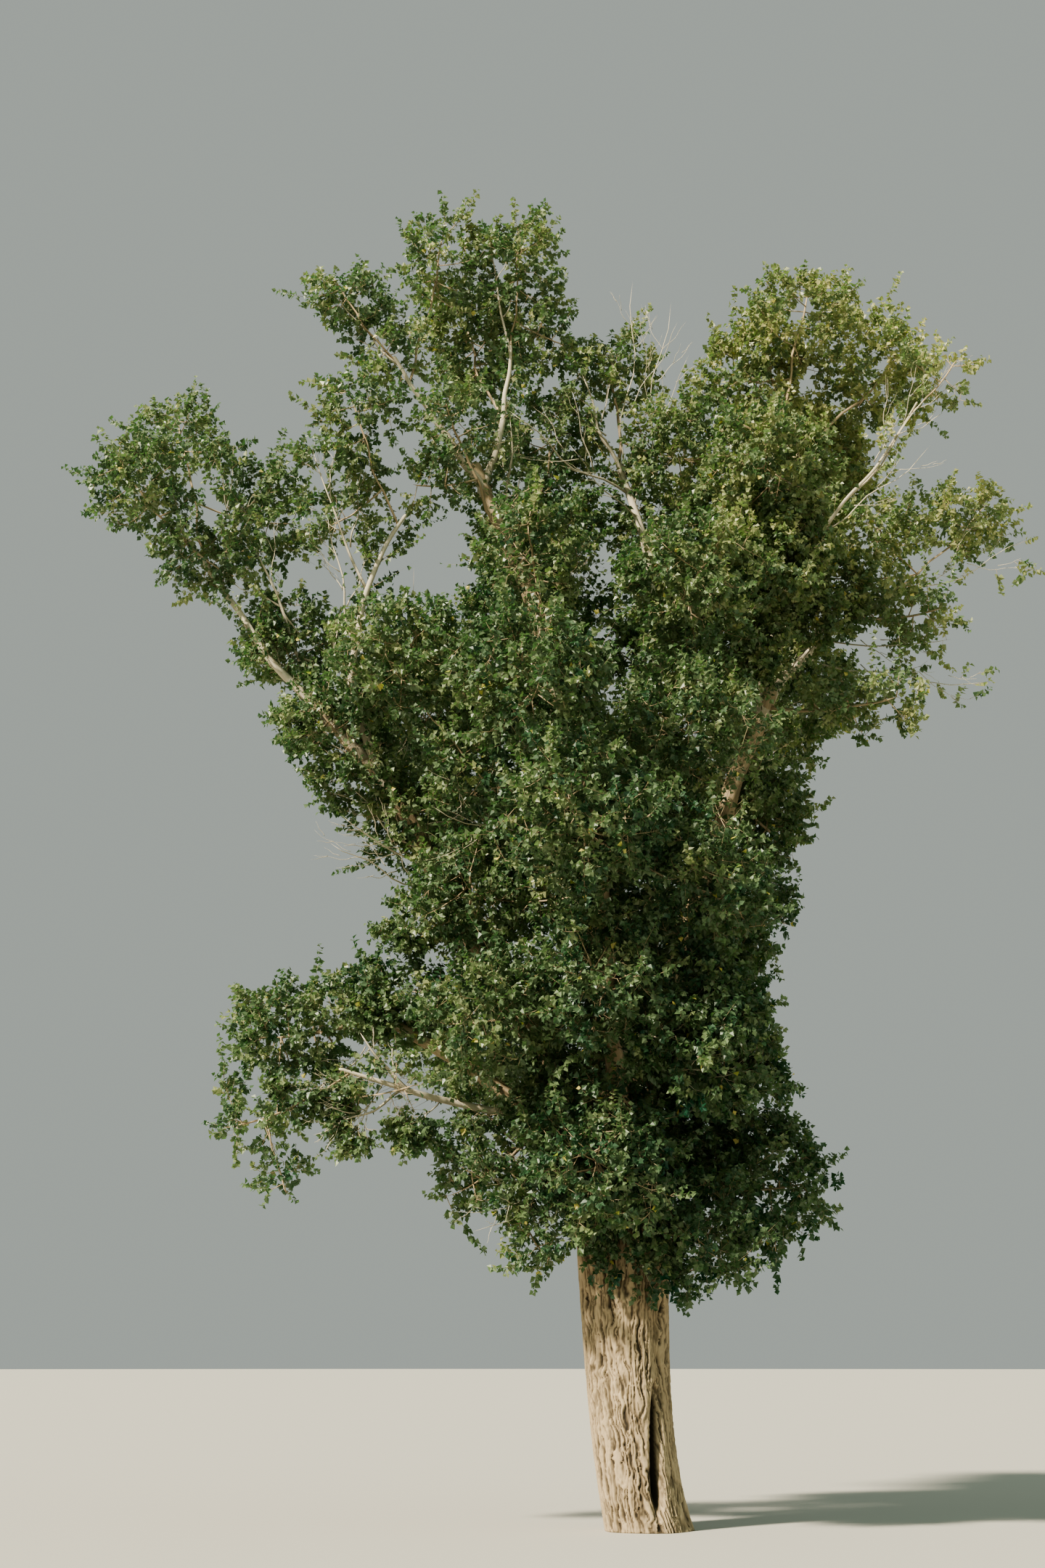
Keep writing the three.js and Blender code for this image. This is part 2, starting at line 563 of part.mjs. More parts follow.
// A sprig springs from the nearest free joint to its leaf's root, and its leaf splays from the way
// straight out. It is null where it would leave its mass's space or come near a limb.
function sprigTo(mass, target, attempt, turn, splay) {
  const { middle, outward, reach } = target;
  const length = target.length * (1 - LENGTH_STEP * attempt);
  const to = middle.clone().addScaledVector(outward, reach * (1 - REACH_STEP * attempt));
  const joint = nearest(mass.joints, to);
  const from = joint.point;
  const way = outward.clone().normalize();
  const sideways = way.clone().cross(Math.abs(way.z) < STEEP ? UP : EAST).normalize();
  sideways.applyAxisAngle(way, turn);
  const leaf = frameAlong(way.clone().applyAxisAngle(sideways, splay), sideways);
  const twig = frameAlong(to.clone().sub(from).normalize(), sideways);
  if (from.distanceTo(to) < SHORTEST_TWIG || twig.along.dot(leaf.along) < SHARPEST_BEND) return null;
  const neck = frameAlong(twig.along.clone().add(leaf.along).normalize(), sideways);
  const sprig = { from, to, length, twig, neck, leaf, joint };
  const points = leafPoints(sprig);
  const steps = Math.ceil(from.distanceTo(to) / SAMPLE_STEP);
  for (let step = 1; step <= steps; step += 1) points.push(from.clone().lerp(to, step / steps));
  return points.every((point) => isFree(mass, point)) ? sprig : null;
}

function nearest(joints, point) {
  return joints.reduce((best, joint) =>
    joint.point.distanceToSquared(point) < best.point.distanceToSquared(point) ? joint : best,
  );
}

// Whether a sprig crosses what has grown: only its foot may run into the twig that it springs from
function crosses(grown, whole, upper, joint) {
  const meetsLimb = [...clearOf.values()].some((limb) => !whole.intersect(limb).isEmpty());
  return meetsLimb || grown.some(
    (other) =>
      !upper.intersect(other.whole).isEmpty() ||
      (other.upper && other !== joint.owner && !whole.intersect(other.upper).isEmpty()),
  );
}

function growSprig(mass, target, grown, random) {
  for (let attempt = 0; attempt < TRIES; attempt += 1) {
    const sprig = sprigTo(mass, target, attempt, 2 * Math.PI * random(), target.splay * random());
    if (!sprig) continue;
    const { from, to, joint } = sprig;
    const foot = FOOT_RADIUS * joint.radius;
    const neck = Math.max(FINEST_TWIG, NECK_RADIUS * foot);
    const whole = sprigSolid(sprig, [foot, neck], 0);
    const upper = sprigSolid(sprig, [foot, neck], FOOT_SHARE);
    if (crosses(grown, whole, upper, joint)) continue;
    const owner = { whole, upper };
    grown.push(owner);
    mass.joints.splice(mass.joints.indexOf(joint), 1);
    mass.joints.push({ point: from.clone().lerp(to, TWIG_JOINT), radius: (foot + neck) / 2, owner });
    return;
  }
}

function growMass(mass) {
  const random = seeded(mass.index + SEED);
  const grown = mass.stems.map((stem) => ({ whole: limbSolid(stem, 0), upper: null }));
  const targets = mass.lobes.flatMap((lobe) => targetsIn(lobe, mass.light, random));
  for (const target of targets) growSprig(mass, target, grown, random);
  const cores = mass.light ? [] : mass.lobes.map((lobe) => coreSolid(mass, lobe, random));
  let solid = wasm.Manifold.union([...grown.map((part) => part.whole), ...cores]);
  const otherStems = masses.filter((other) => other !== mass).flatMap((other) => other.stems);
  for (const wider of [...clearOf.values(), ...otherStems.map((stem) => limbSolid(stem, GAP))]) {
    if (!solid.intersect(wider).isEmpty()) solid = solid.subtract(wider);
  }
  return largestBody(solid);
}

// Colours and finishes
const TRUNK_BARK = { name: "trunk_bark", color: 0xa8957a, roughness: 0.95, metalness: 0 };
const BOUGH_BARK = { name: "bough_bark", color: 0xcfc3a6, roughness: 0.8, metalness: 0 };
const LEAF_GREEN = { name: "leaf_green", color: 0x4c5a35, roughness: 0.5, metalness: 0 };

const tree = new THREE.Group();
const timber = new THREE.Group();
const crown = new THREE.Group();
tree.add(timber, crown);
for (const [name, solid] of limbSolids) {
  const finish = name === "trunk" ? TRUNK_BARK : BOUGH_BARK;
  const material = new THREE.MeshStandardMaterial(finish);
  timber.add(meshFrom(name, solid, limbs.get(name).axis(0), material));
}
for (const mass of masses) {
  const material = new THREE.MeshStandardMaterial(LEAF_GREEN);
  crown.add(meshFrom(mass.name, growMass(mass), mass.foot, material));
}

export default tree;
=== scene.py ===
"""A broad-crowned poplar: barked trunk and boughs, twigs, and leaves in sprays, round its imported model."""
import functools
import json
import math
from collections import namedtuple

import bpy
import numpy as np
from bpy.props import FloatProperty, FloatVectorProperty, IntProperty, PointerProperty
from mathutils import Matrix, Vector

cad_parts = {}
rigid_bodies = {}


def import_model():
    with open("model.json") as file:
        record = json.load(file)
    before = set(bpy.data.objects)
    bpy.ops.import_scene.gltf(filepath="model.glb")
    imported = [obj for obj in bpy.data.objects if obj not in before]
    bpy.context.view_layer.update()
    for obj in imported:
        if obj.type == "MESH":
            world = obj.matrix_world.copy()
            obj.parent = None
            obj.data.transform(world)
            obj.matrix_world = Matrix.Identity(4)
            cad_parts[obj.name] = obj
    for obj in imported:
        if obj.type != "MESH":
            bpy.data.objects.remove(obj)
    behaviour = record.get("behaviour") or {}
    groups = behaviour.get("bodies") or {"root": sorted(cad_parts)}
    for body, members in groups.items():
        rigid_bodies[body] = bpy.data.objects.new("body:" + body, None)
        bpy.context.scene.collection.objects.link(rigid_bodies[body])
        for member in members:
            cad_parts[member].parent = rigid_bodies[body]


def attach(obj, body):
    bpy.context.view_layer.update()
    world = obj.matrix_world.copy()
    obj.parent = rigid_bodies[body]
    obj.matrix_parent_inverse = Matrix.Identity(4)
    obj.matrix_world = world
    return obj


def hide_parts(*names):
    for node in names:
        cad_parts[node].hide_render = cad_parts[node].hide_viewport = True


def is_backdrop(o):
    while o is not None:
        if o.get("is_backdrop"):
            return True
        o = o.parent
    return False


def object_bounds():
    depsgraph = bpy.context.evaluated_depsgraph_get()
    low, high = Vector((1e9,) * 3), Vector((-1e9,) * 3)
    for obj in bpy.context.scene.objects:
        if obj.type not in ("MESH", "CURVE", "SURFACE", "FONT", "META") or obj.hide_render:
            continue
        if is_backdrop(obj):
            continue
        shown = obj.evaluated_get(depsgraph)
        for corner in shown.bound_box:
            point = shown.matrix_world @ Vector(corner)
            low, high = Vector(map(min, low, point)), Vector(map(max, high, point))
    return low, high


bl_info = {
    "name": "Broad-crowned poplar",
    "version": (1, 0, 0),
    "blender": (4, 5, 0),
    "location": "3D View > Sidebar > Poplar",
    "description": "Dresses a poplar's limbs in bark and grows its twigs and leaves",
    "category": "Add Mesh",
}

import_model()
MODEL_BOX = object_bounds()

# The tree is set out in metres, as it looks from the south: places and sizes in the tables are read
# against the plane of the trunk, and each then moves along its line of sight to its own depth.
VIEWPOINT = np.array([-1.2, -21.95, 1.6])
UP = np.array([0.0, 0.0, 1.0])
REFERENCE = np.array([0.2, 1.0, 0.1]) / math.sqrt(1.05)  # no limb runs this way
GOLDEN_ANGLE = math.pi * (3 - math.sqrt(5))
HEADING_STEP = 0.002  # share of a limb, to either side of where its heading is taken

# Trunk
TRUNK_HEIGHT = 4.4
TRUNK_WAIST = 0.365
TRUNK_SWELL = 0.08
SWELL_HEIGHT = 2.6
SWELL_CURVE = 1.5
TRUNK_LEAN = 0.24
LEAN_HEIGHT = 0.9
ROOT_FLARE = 0.055
FLARE_HEIGHT = 0.6
SHOULDER_HEIGHT = 3.7
SHOULDER_LOSS = 0.35
BUTTRESSES = 5
BUTTRESS_DEPTH = 0.035
TRUNK_CORE = 0.17
DOME_HEIGHT = 0.25
Fold = namedtuple("Fold", "heading turn depth width low high fade")
FOLDS = [
    Fold(-74, 22, 0.2, 7, 0.1, 1.4, 0.28),
    Fold(-44, 3, 0.045, 10, 1.15, 3.4, 0.4),
    Fold(-97, 0, 0.075, 14, 2.1, 9.0, 0.7),
    Fold(-118, 0, 0.02, 10, 0.9, 2.4, 0.6),
]
FOLD_PAINTED_SHADE_FROM = 0.04  # depth past which a fold gets painted shade
FOLD_PAINTED_SHADE_OVER = 0.05  # how much deeper it is where that painted shade is darkest
Knot = namedtuple("Knot", "heading height size lift")
KNOTS = [Knot(-137, 2.54, 0.1, 0.05), Knot(-147, 2.15, 0.05, -0.035), Knot(-139, 1.5, 0.085, 0.04)]
HOLLOW_SIZE = 0.4  # of its knot's
HOLLOW_DEPTH = 1.1  # of its knot's lift
TRUNK_COLUMNS = 312
TRUNK_FINE_ROWS = 236
FINE_HEIGHT = 2.9
TRUNK_COARSE_ROWS = 34
TRUNK_LIFT = 0.35  # of the furrows' depth, so that the trunk keeps its girth

# Bark: cells to a furrow, length, depth and width of the crack; then noises, each a weight, its cells to a
# furrow and to a metre up, which sway the cracks, shift their ends and roughen the ridges
CRACKS = [(1, 0.36, 1.0, 0.3), (2, 0.2, 0.75, 0.36)]
SWAY_NOISES = [(2.2, 0.25, 1.3), (0.9, 0.5, 5), (0.45, 1, 13), (0.2, 3, 30)]
SHIFT_NOISES = [(0.8, 0.25, 3), (0.35, 2, 12)]
ROUGH_NOISES = [(0.2, 5, 40), (0.2, 2, 16), (0.14, 1, 5)]
BARKS = {  # height of the fine bumps, and whether it is the pale bark of the upper limbs
    "trunk_bark": (0.006, False),
    "bough_bark": (0.004, False),
    "pale_bark": (0.002, True),
    "twig_bark": (0.001, False),
    "long_twig_bark": (0.001, True),
}
FEWEST_FURROWS = 8
SMOOTH_BELOW = 0.05  # radius up to which bark has no furrows
FURROWED_OVER = 0.13  # how much thicker it is where they are full
BOUGH_FURROWS = 0.8  # of the trunk's depth
BOUGH_LIFT = 0.3
KNOTS_ROUND = 3
KNOTS_PER_M = 2.6
KNOT_SWELL = 0.1

# Boughs: name, parent, share of the parent's length, girth at foot and tip, tip, and swing of the middle
TAPER = 0.8
COLLAR = 0.3
FINENESS = 0.85  # of the girths above the trunk's own boughs
TIP_FINENESS = 0.6  # of a tip that carries no other bough
LIMB_SWAY = 0.009  # of its length
BUTT_REACH = 2.2  # of the foot's radius, on into the parent
CAP_REACH = 1.2  # of the tip's radius
Bough = namedtuple("Bough", "name parent at girth tip bow")
BOUGHS = [Bough(*row) for row in [
    ("leader", "trunk", 0.88, (0.195, 0.072), (-1.7, 0.1, 10.91), (0.42, 0, 0)),
    ("east", "trunk", 0.9, (0.18, 0.088), (1.4, 0, 8.35), (-0.06, 0.06, 0)),
    ("west", "trunk", 0.8, (0.165, 0.09), (-2.7, -0.3, 7.53), (-0.08, 0, 0.12)),
    ("front", "trunk", 0.86, (0.125, 0.048), (-0.39, -2.1, 6.77), (0, -0.16, -0.16)),
    ("back", "trunk", 0.87, (0.14, 0.055), (-0.18, 2.3, 6.51), (0, 0.16, -0.16)),
    ("low_west", "trunk", 0.74, (0.12, 0.048), (-2.78, -0.38, 4.99), (0.06, 0, 0.14)),
    ("broken", "low_west", 0.3, (0.06, 0.03), (-3.02, -0.8, 4.4), (0, -0.06, -0.04)),
    ("middle", "leader", 0.3, (0.105, 0.042), (-0.17, 0.6, 11.0), (0.56, 0.06, -0.15)),
    ("top_west", "leader", 0.97, (0.062, 0.03), (-2.6, -0.35, 12.21), (0.04, 0, -0.11)),
    ("top", "leader", 0.97, (0.058, 0.028), (-1.33, 0.2, 12.35), (0.05, 0, -0.06)),
    ("far_west", "west", 0.97, (0.078, 0.034), (-4.83, -0.32, 10.14), (-0.06, 0, -0.09)),
    ("fork_west", "west", 0.96, (0.072, 0.032), (-2.48, -0.6, 10.35), (-0.43, 0, 0)),
    ("far_east", "east", 0.96, (0.072, 0.03), (2.74, 0.6, 9.49), (-0.15, 0, 0.06)),
    ("east_top", "east", 0.95, (0.082, 0.036), (1.5, 0.2, 11.21), (0.06, 0.06, 0)),
    ("bare", "east_top", 0.5, (0.034, 0.016), (3.1, -0.5, 11.68), (0.06, -0.04, -0.09)),
    ("front_high", "leader", 0.5, (0.072, 0.032), (-1.04, -2.0, 9.2), (0, -0.06, -0.08)),
    ("back_high", "middle", 0.5, (0.066, 0.032), (0.75, 2.1, 9.13), (0.06, 0.06, -0.09)),
    ("back_west", "west", 0.6, (0.074, 0.034), (-2.09, 1.9, 7.93), (0, 0.06, -0.12)),
]]

# Masses of foliage: name, limb, share of its length, fullness, and lobes, each a middle, spread and rise
Mass = namedtuple("Mass", "name limb at fullness lobes")
MASSES = [Mass(*row) for row in [
    ("tip_west", "top_west", 0.97, 0.75, [(-3.15, -0.45, 12.98, 0.56, 0.44),
        (-2.72, -0.35, 12.33, 0.5, 0.52)]),
    ("tip_left", "top_west", 0.85, 0.75, [(-2.15, 0, 13.4, 0.54, 0.72)]),
    ("tip_right", "top", 0.97, 0.75, [(-1.25, 0.2, 13.4, 0.6, 0.72), (-0.95, 0.35, 12.5, 0.5, 0.56)]),
    ("top_back", "top", 0.5, 0.9, [(-1.75, 1.1, 12.4, 0.8, 0.78)]),
    ("fork_west", "fork_west", 0.97, 0.75, [(-2.98, -0.8, 11.5, 0.56, 0.72),
        (-3.08, -0.45, 10.4, 0.42, 0.52)]),
    ("leader_west", "leader", 0.88, 0.7, [(-1.9, -0.6, 11.35, 0.56, 0.7),
        (-2.15, -0.5, 10.75, 0.42, 0.5)]),
    ("middle_top", "middle", 0.97, 0.9, [(-0.2, 0.8, 12.1, 0.52, 0.6),
        (0.48, 0.3, 11.1, 0.68, 0.78)]),
    ("middle_west", "leader", 0.8, 0.9, [(-0.92, 0.9, 11.2, 0.7, 0.7)]),
    ("leader_front", "leader", 0.72, 1, [(-1.1, -1.1, 9.95, 0.76, 0.84)]),
    ("back_top", "leader", 0.6, 1, [(-1.05, 2.2, 9.3, 0.95, 0.95)]),
    ("east_top", "east_top", 0.97, 0.9, [(1.87, 0, 12.66, 0.76, 0.66), (1.3, 0.45, 12, 0.68, 0.7)]),
    ("east_shoulder", "east_top", 0.9, 0.9, [(2.73, 0.65, 12.08, 0.69, 0.74)]),
    ("bare_tip", "bare", 0.95, 0.7, [(3.4, -0.6, 12, 0.44, 0.43)]),
    ("east_upper", "east_top", 0.65, 1, [(1.45, -1.1, 11, 0.88, 0.78)]),
    ("east_back", "east_top", 0.8, 1, [(1.85, 1.7, 10.9, 0.98, 0.9)]),
    ("far_east", "far_east", 0.97, 0.9, [(3.58, 0.7, 10.3, 0.6, 0.44),
        (2.7, 0.25, 10.15, 0.62, 0.48), (1.9, 0.6, 9.75, 0.55, 0.5)]),
    ("far_east_low", "far_east", 0.75, 0.8, [(2.88, 0.1, 9.28, 0.7, 0.38)]),
    ("east_low", "east", 0.97, 0.9, [(2.35, -0.5, 8.3, 0.72, 0.4)]),
    ("neck_upper", "east", 0.78, 1, [(1.28, 0.45, 7, 0.66, 0.7)]),
    ("neck", "east", 0.5, 1, [(1.15, -0.1, 6, 0.52, 0.6), (0.84, 0.25, 5.25, 0.54, 0.6)]),
    ("middle_front", "middle", 0.62, 1, [(0.6, -1.5, 9.6, 1, 0.9), (0.55, -1.5, 8, 1, 0.95)]),
    ("back_east", "back_high", 0.96, 1, [(0.9, 2.5, 9.85, 1.05, 0.95), (1.45, 2.1, 8.3, 1, 0.9)]),
    ("front_high", "front_high", 0.96, 1, [(-1.1, -2.5, 8.55, 1.05, 0.9)]),
    ("front_west", "fork_west", 0.25, 1, [(-2.5, -1.4, 8.75, 0.88, 0.8),
        (-1.7, -1.4, 7.6, 0.68, 0.6)]),
    ("front", "front", 0.97, 1, [(-0.6, -2.7, 7.1, 1.05, 0.92), (0.6, -2, 6.35, 0.9, 0.88)]),
    ("front_low", "front", 0.5, 1, [(-0.45, -1.9, 5.35, 1, 0.88), (-1.55, -1.5, 4.98, 0.85, 0.78)]),
    ("far_west", "far_west", 0.97, 0.9, [(-5.35, -0.55, 10.72, 0.68, 0.62),
        (-4.65, -0.4, 9.95, 0.58, 0.5)]),
    ("far_west_top", "far_west", 0.85, 0.75, [(-4.9, 0.2, 11.28, 0.6, 0.54),
        (-3.98, 0.4, 10.35, 0.62, 0.8)]),
    ("west_upper", "far_west", 0.25, 0.9, [(-3.6, 0.25, 8.98, 0.66, 0.66)]),
    ("west", "west", 0.95, 1, [(-3.15, -0.6, 7.98, 0.76, 0.48), (-2.45, -0.35, 6.98, 0.58, 0.52)]),
    ("waist", "west", 0.55, 1, [(-1.75, -1, 6.25, 0.82, 0.76), (-0.95, -1.2, 6.2, 0.62, 0.56)]),
    ("back_west", "back_west", 0.96, 1, [(-2.25, 2.4, 8.2, 1.05, 0.95), (-1.5, 1.7, 6.9, 0.85, 0.8)]),
    ("back", "back", 0.96, 1, [(-0.3, 2.9, 7.25, 1.1, 1), (0.3, 2.3, 5.5, 1, 0.9)]),
    ("low_west", "low_west", 0.97, 1, [(-3.65, -0.4, 4.8, 0.68, 0.62),
        (-2.6, -0.1, 5.12, 0.78, 0.52)]),
    ("low_west_hang", "broken", 0.96, 0.8, [(-3.85, -0.8, 3.96, 0.55, 0.5),
        (-2.6, -0.9, 4.22, 0.6, 0.42), (-3.6, -0.8, 3.35, 0.34, 0.32)]),
    ("skirt_west", "low_west", 0.3, 1, [(-1.45, -0.55, 3.5, 0.74, 0.78),
        (-1.05, -0.7, 2.72, 0.44, 0.44)]),
    ("skirt_front", "trunk", 0.78, 1, [(-0.45, -1.3, 3.55, 0.92, 0.98)]),
    ("low_east", "trunk", 0.76, 1, [(1.25, 0.05, 3.3, 0.76, 0.82), (0.6, -0.65, 2.78, 0.68, 0.68)]),
    ("low_east_top", "east", 0.18, 1, [(0.72, -0.35, 4.52, 0.7, 0.82)]),
    ("low_back", "trunk", 0.88, 1, [(-0.3, 1.7, 3.8, 1, 0.88), (-1.5, 1.4, 4.7, 0.9, 0.82)]),
]]
MASS_NODES = [f"foliage_{row.name}" for row in MASSES]

# How the crown grows
STEM_RADIUS = 0.03
STEM_SHARE = 0.8  # of the limb that it springs from
STEM_TIP = 0.011
STEM_REACH = 0.6
STEM_SAG = 0.06
STEM_SWAY = 0.015
STEM_ROWS = 12
TWIG_SAG = 0.2
ARM_SHARES = (0.3, 0.5, 0.7, 0.9)
JOINT_STEP = 0.05
LOBE_EDGE = 1.0
LOBE_LUMPS = 0.4  # how far the lobe's outside falls back between its tufts
LUMPS_ROUND = 8
LUMPS_UP = 4
LEADERS_PER_M2 = 8.5  # of the lobe's middle section
LEADER_REACH = 1.08  # of the lobe's outside
LEADER_BAND = (0.92, 1.12)
LEADER_RISE = 0.08
LEADER_FINEST = 0.005  # least girth at the foot
BRANCHLETS_PER_M3 = 47
BRANCHLET_BAND = (0.36, 0.9)
BRANCHLET_FINEST = 0.0035
BRANCHLET_TAPER = 0.6
SHORTEST_BRANCHLET = 0.05
TARGET_SCATTER = 0.25
TURN_COST = 0.6  # how much further a turn back inwards makes a joint
GIRTH_PULL = 4  # how much nearer a thick joint seems
CHILD_GIRTH = 0.62  # of the joint's
CHILD_JOINTS = (0.35, 0.65, 0.95)  # shares of a branchlet that others may leave from
JOINT_TAPER = 0.55
OWN_MARGIN = 0.1  # how far a mass may reach into another that is as near
SHARED_EDGE = 0.8  # share of a lobe past which other masses may reach in
SHOOT_STEP = 0.055
ANY_TURN = 6.3  # radians, for a turn by chance
SHOOTS_EACH = (3, 10)  # fewest and most to a branchlet
SHOOTS_FROM = 0.3  # share of the branchlet at which the first one leaves
SHOOTS_OVER = 0.68  # share that they are spread over
# Lengths by chance: the least, and how much more there may be
SHOOT_LENGTH = (0.09, 0.17)
END_SHOOT_LENGTH = (0.12, 0.14)
LIMB_SHOOT_LENGTH = (0.1, 0.36)
TWIG_SHOOT_LENGTH = (0.12, 0.16)
LONG_END_SHOOT = 0.26  # more, by chance, on a thick branchlet
FOOT_SHOOTS = 1.35  # times the length, where a branchlet begins
SHOOT_LOSS = 0.6  # of it, towards the tip
SHOOT_GIRTH = 0.0024
# Slants: weights of the way out, the way along, straight up and a way by chance
SHOOT_SLANT = (0.8, 0.6, 0.3, 0.2)
TIP_SLANT = (0, 1, 0.55, 0.25)
TWIG_SHOOT_SLANT = (0, 0.7, 0, 0.6)
LEAF_SLANT = (0.8, 0.45, -0.35, 0.3)
LIMB_SHOOT_SLANT = (0.8, 0.3)  # along and up, for one metre out
LEAF_FACE = (0.5, 0.5, 0.3, 0.75)  # weights of the shoot's heading, up, the way out and chance
LEAVES_EACH = (4, 20)  # fewest and most to a shoot
LEAVES_FROM = 0.2  # share of the shoot at which the first one sits
LEAVES_OVER = 0.82
LEAF_STRAY = 0.7  # of the way to the next leaf
LEAF_TURN = 0.5  # radians by which the turn strays
LEAF_MIDDLE = 0.04  # from its root, where a leaf is tested for limbs and windows
FOOT_LEAVES = 1.15  # times the length, where a shoot begins
LEAF_LOSS = 0.35  # of it, towards the tip
LEAF_LENGTHS = (0.75, 0.5)  # least, and how much more by chance
LEADER_GIRTH = 0.0045  # a branchlet thicker than this ends in a long shoot
LEAF_STEP = 0.0205
TWIG_ROWS = 4
LIMB_CLEARANCE = 0.02
LIMB_SAMPLES = 60
LOT = 4000  # rows to a table of distances
LIMB_SHOOTS_PER_M2 = 95  # of bark
LIMB_SHOOTS_FROM = {"trunk": 0.7}  # share of the limb's length
LIMB_SHOOTS_LOW = 0.04  # on the others
LIMB_SHOOTS_HIGH = 0.98
TWIG_SHOOTS_OVER = 0.6  # share of a long twig, from its tip
BOX_SPARE = 0.022  # share of the model's sides that leaves may stand past its box

# Leaves
LEAF_SHOULDER = 0.36  # share of the length at which the blade is widest
LEAF_BEND = 0.1
LEAF_GLOSS = 0.42
LEAF_GLOW = 0.24  # share of the light that comes through
GLOW_TINT = (1.15, 2.0, 1.1)
TINTS = 10
YELLOWED = 0.004  # share of leaves

# How young a shoot's leaves look, with painted light: weights of its branchlet's draw, of its height, of its
# own draw, of how far east it is and of how low it is in the west; the last three brighten the sunlit top,
# east and low west
SPRAY_YOUTH, HEIGHT_PAINTED_LIGHT, OWN_YOUTH, EAST_PAINTED_LIGHT, LOW_WEST_PAINTED_LIGHT = 0.38, 0.36, 0.14, 0.24, 0.2

# Limbs that show: limb, from where to where along it, and the share of leaves kept in front of it
WINDOWS = [
    ("leader", 0.74, 1.0, 0.3),
    ("top_west", 0.0, 0.8, 0.35),
    ("top", 0.0, 0.8, 0.25),
    ("middle", 0.8, 1.0, 0.3),
    ("fork_west", 0.35, 0.9, 0.3),
    ("far_west", 0.1, 0.75, 0.2),
    ("east", 0.7, 1.0, 0.2),
    ("far_east", 0.0, 0.12, 0.4),
    ("bare", 0.38, 1.0, 0.2),
    ("low_west", 0.5, 0.9, 0.72),
    ("broken", 0.25, 1.0, 0.06),
]
WINDOW_MARGIN = 0.08
WINDOW_STEP = 0.05
WINDOW_DEPTH = 0.02  # how far behind a limb's axis a leaf still hides it
GAP_EDGE = (0.7, 0.5)  # a gap's ragged edge: the least, and how much more by chance

# Gaps where the sky shows, in the plane of the trunk: middle, half width and height, share of leaves kept
SKY_GAPS = [
    ((-2.42, 4.12), (0.34, 0.24), 0.06),
    ((-2.75, 3.85), (0.2, 0.16), 0.1),
    ((-0.5, 9.7), (0.22, 0.34), 0.25),
    ((-0.32, 9.15), (0.18, 0.22), 0.35),
    ((-3.28, 9.75), (0.24, 0.26), 0.15),
    ((-2.2, 9.75), (0.4, 0.26), 0.05),
]
TWIG_KEEPS = 0.4
SHOWN_LEAFY = 4  # a twig with more leafy shoots than this is not cleared
TWIG_SHOWN = (0.3, 0.95)  # the stretch that is cleared of the others, as shares of their length
TWIG_SAMPLES = 30

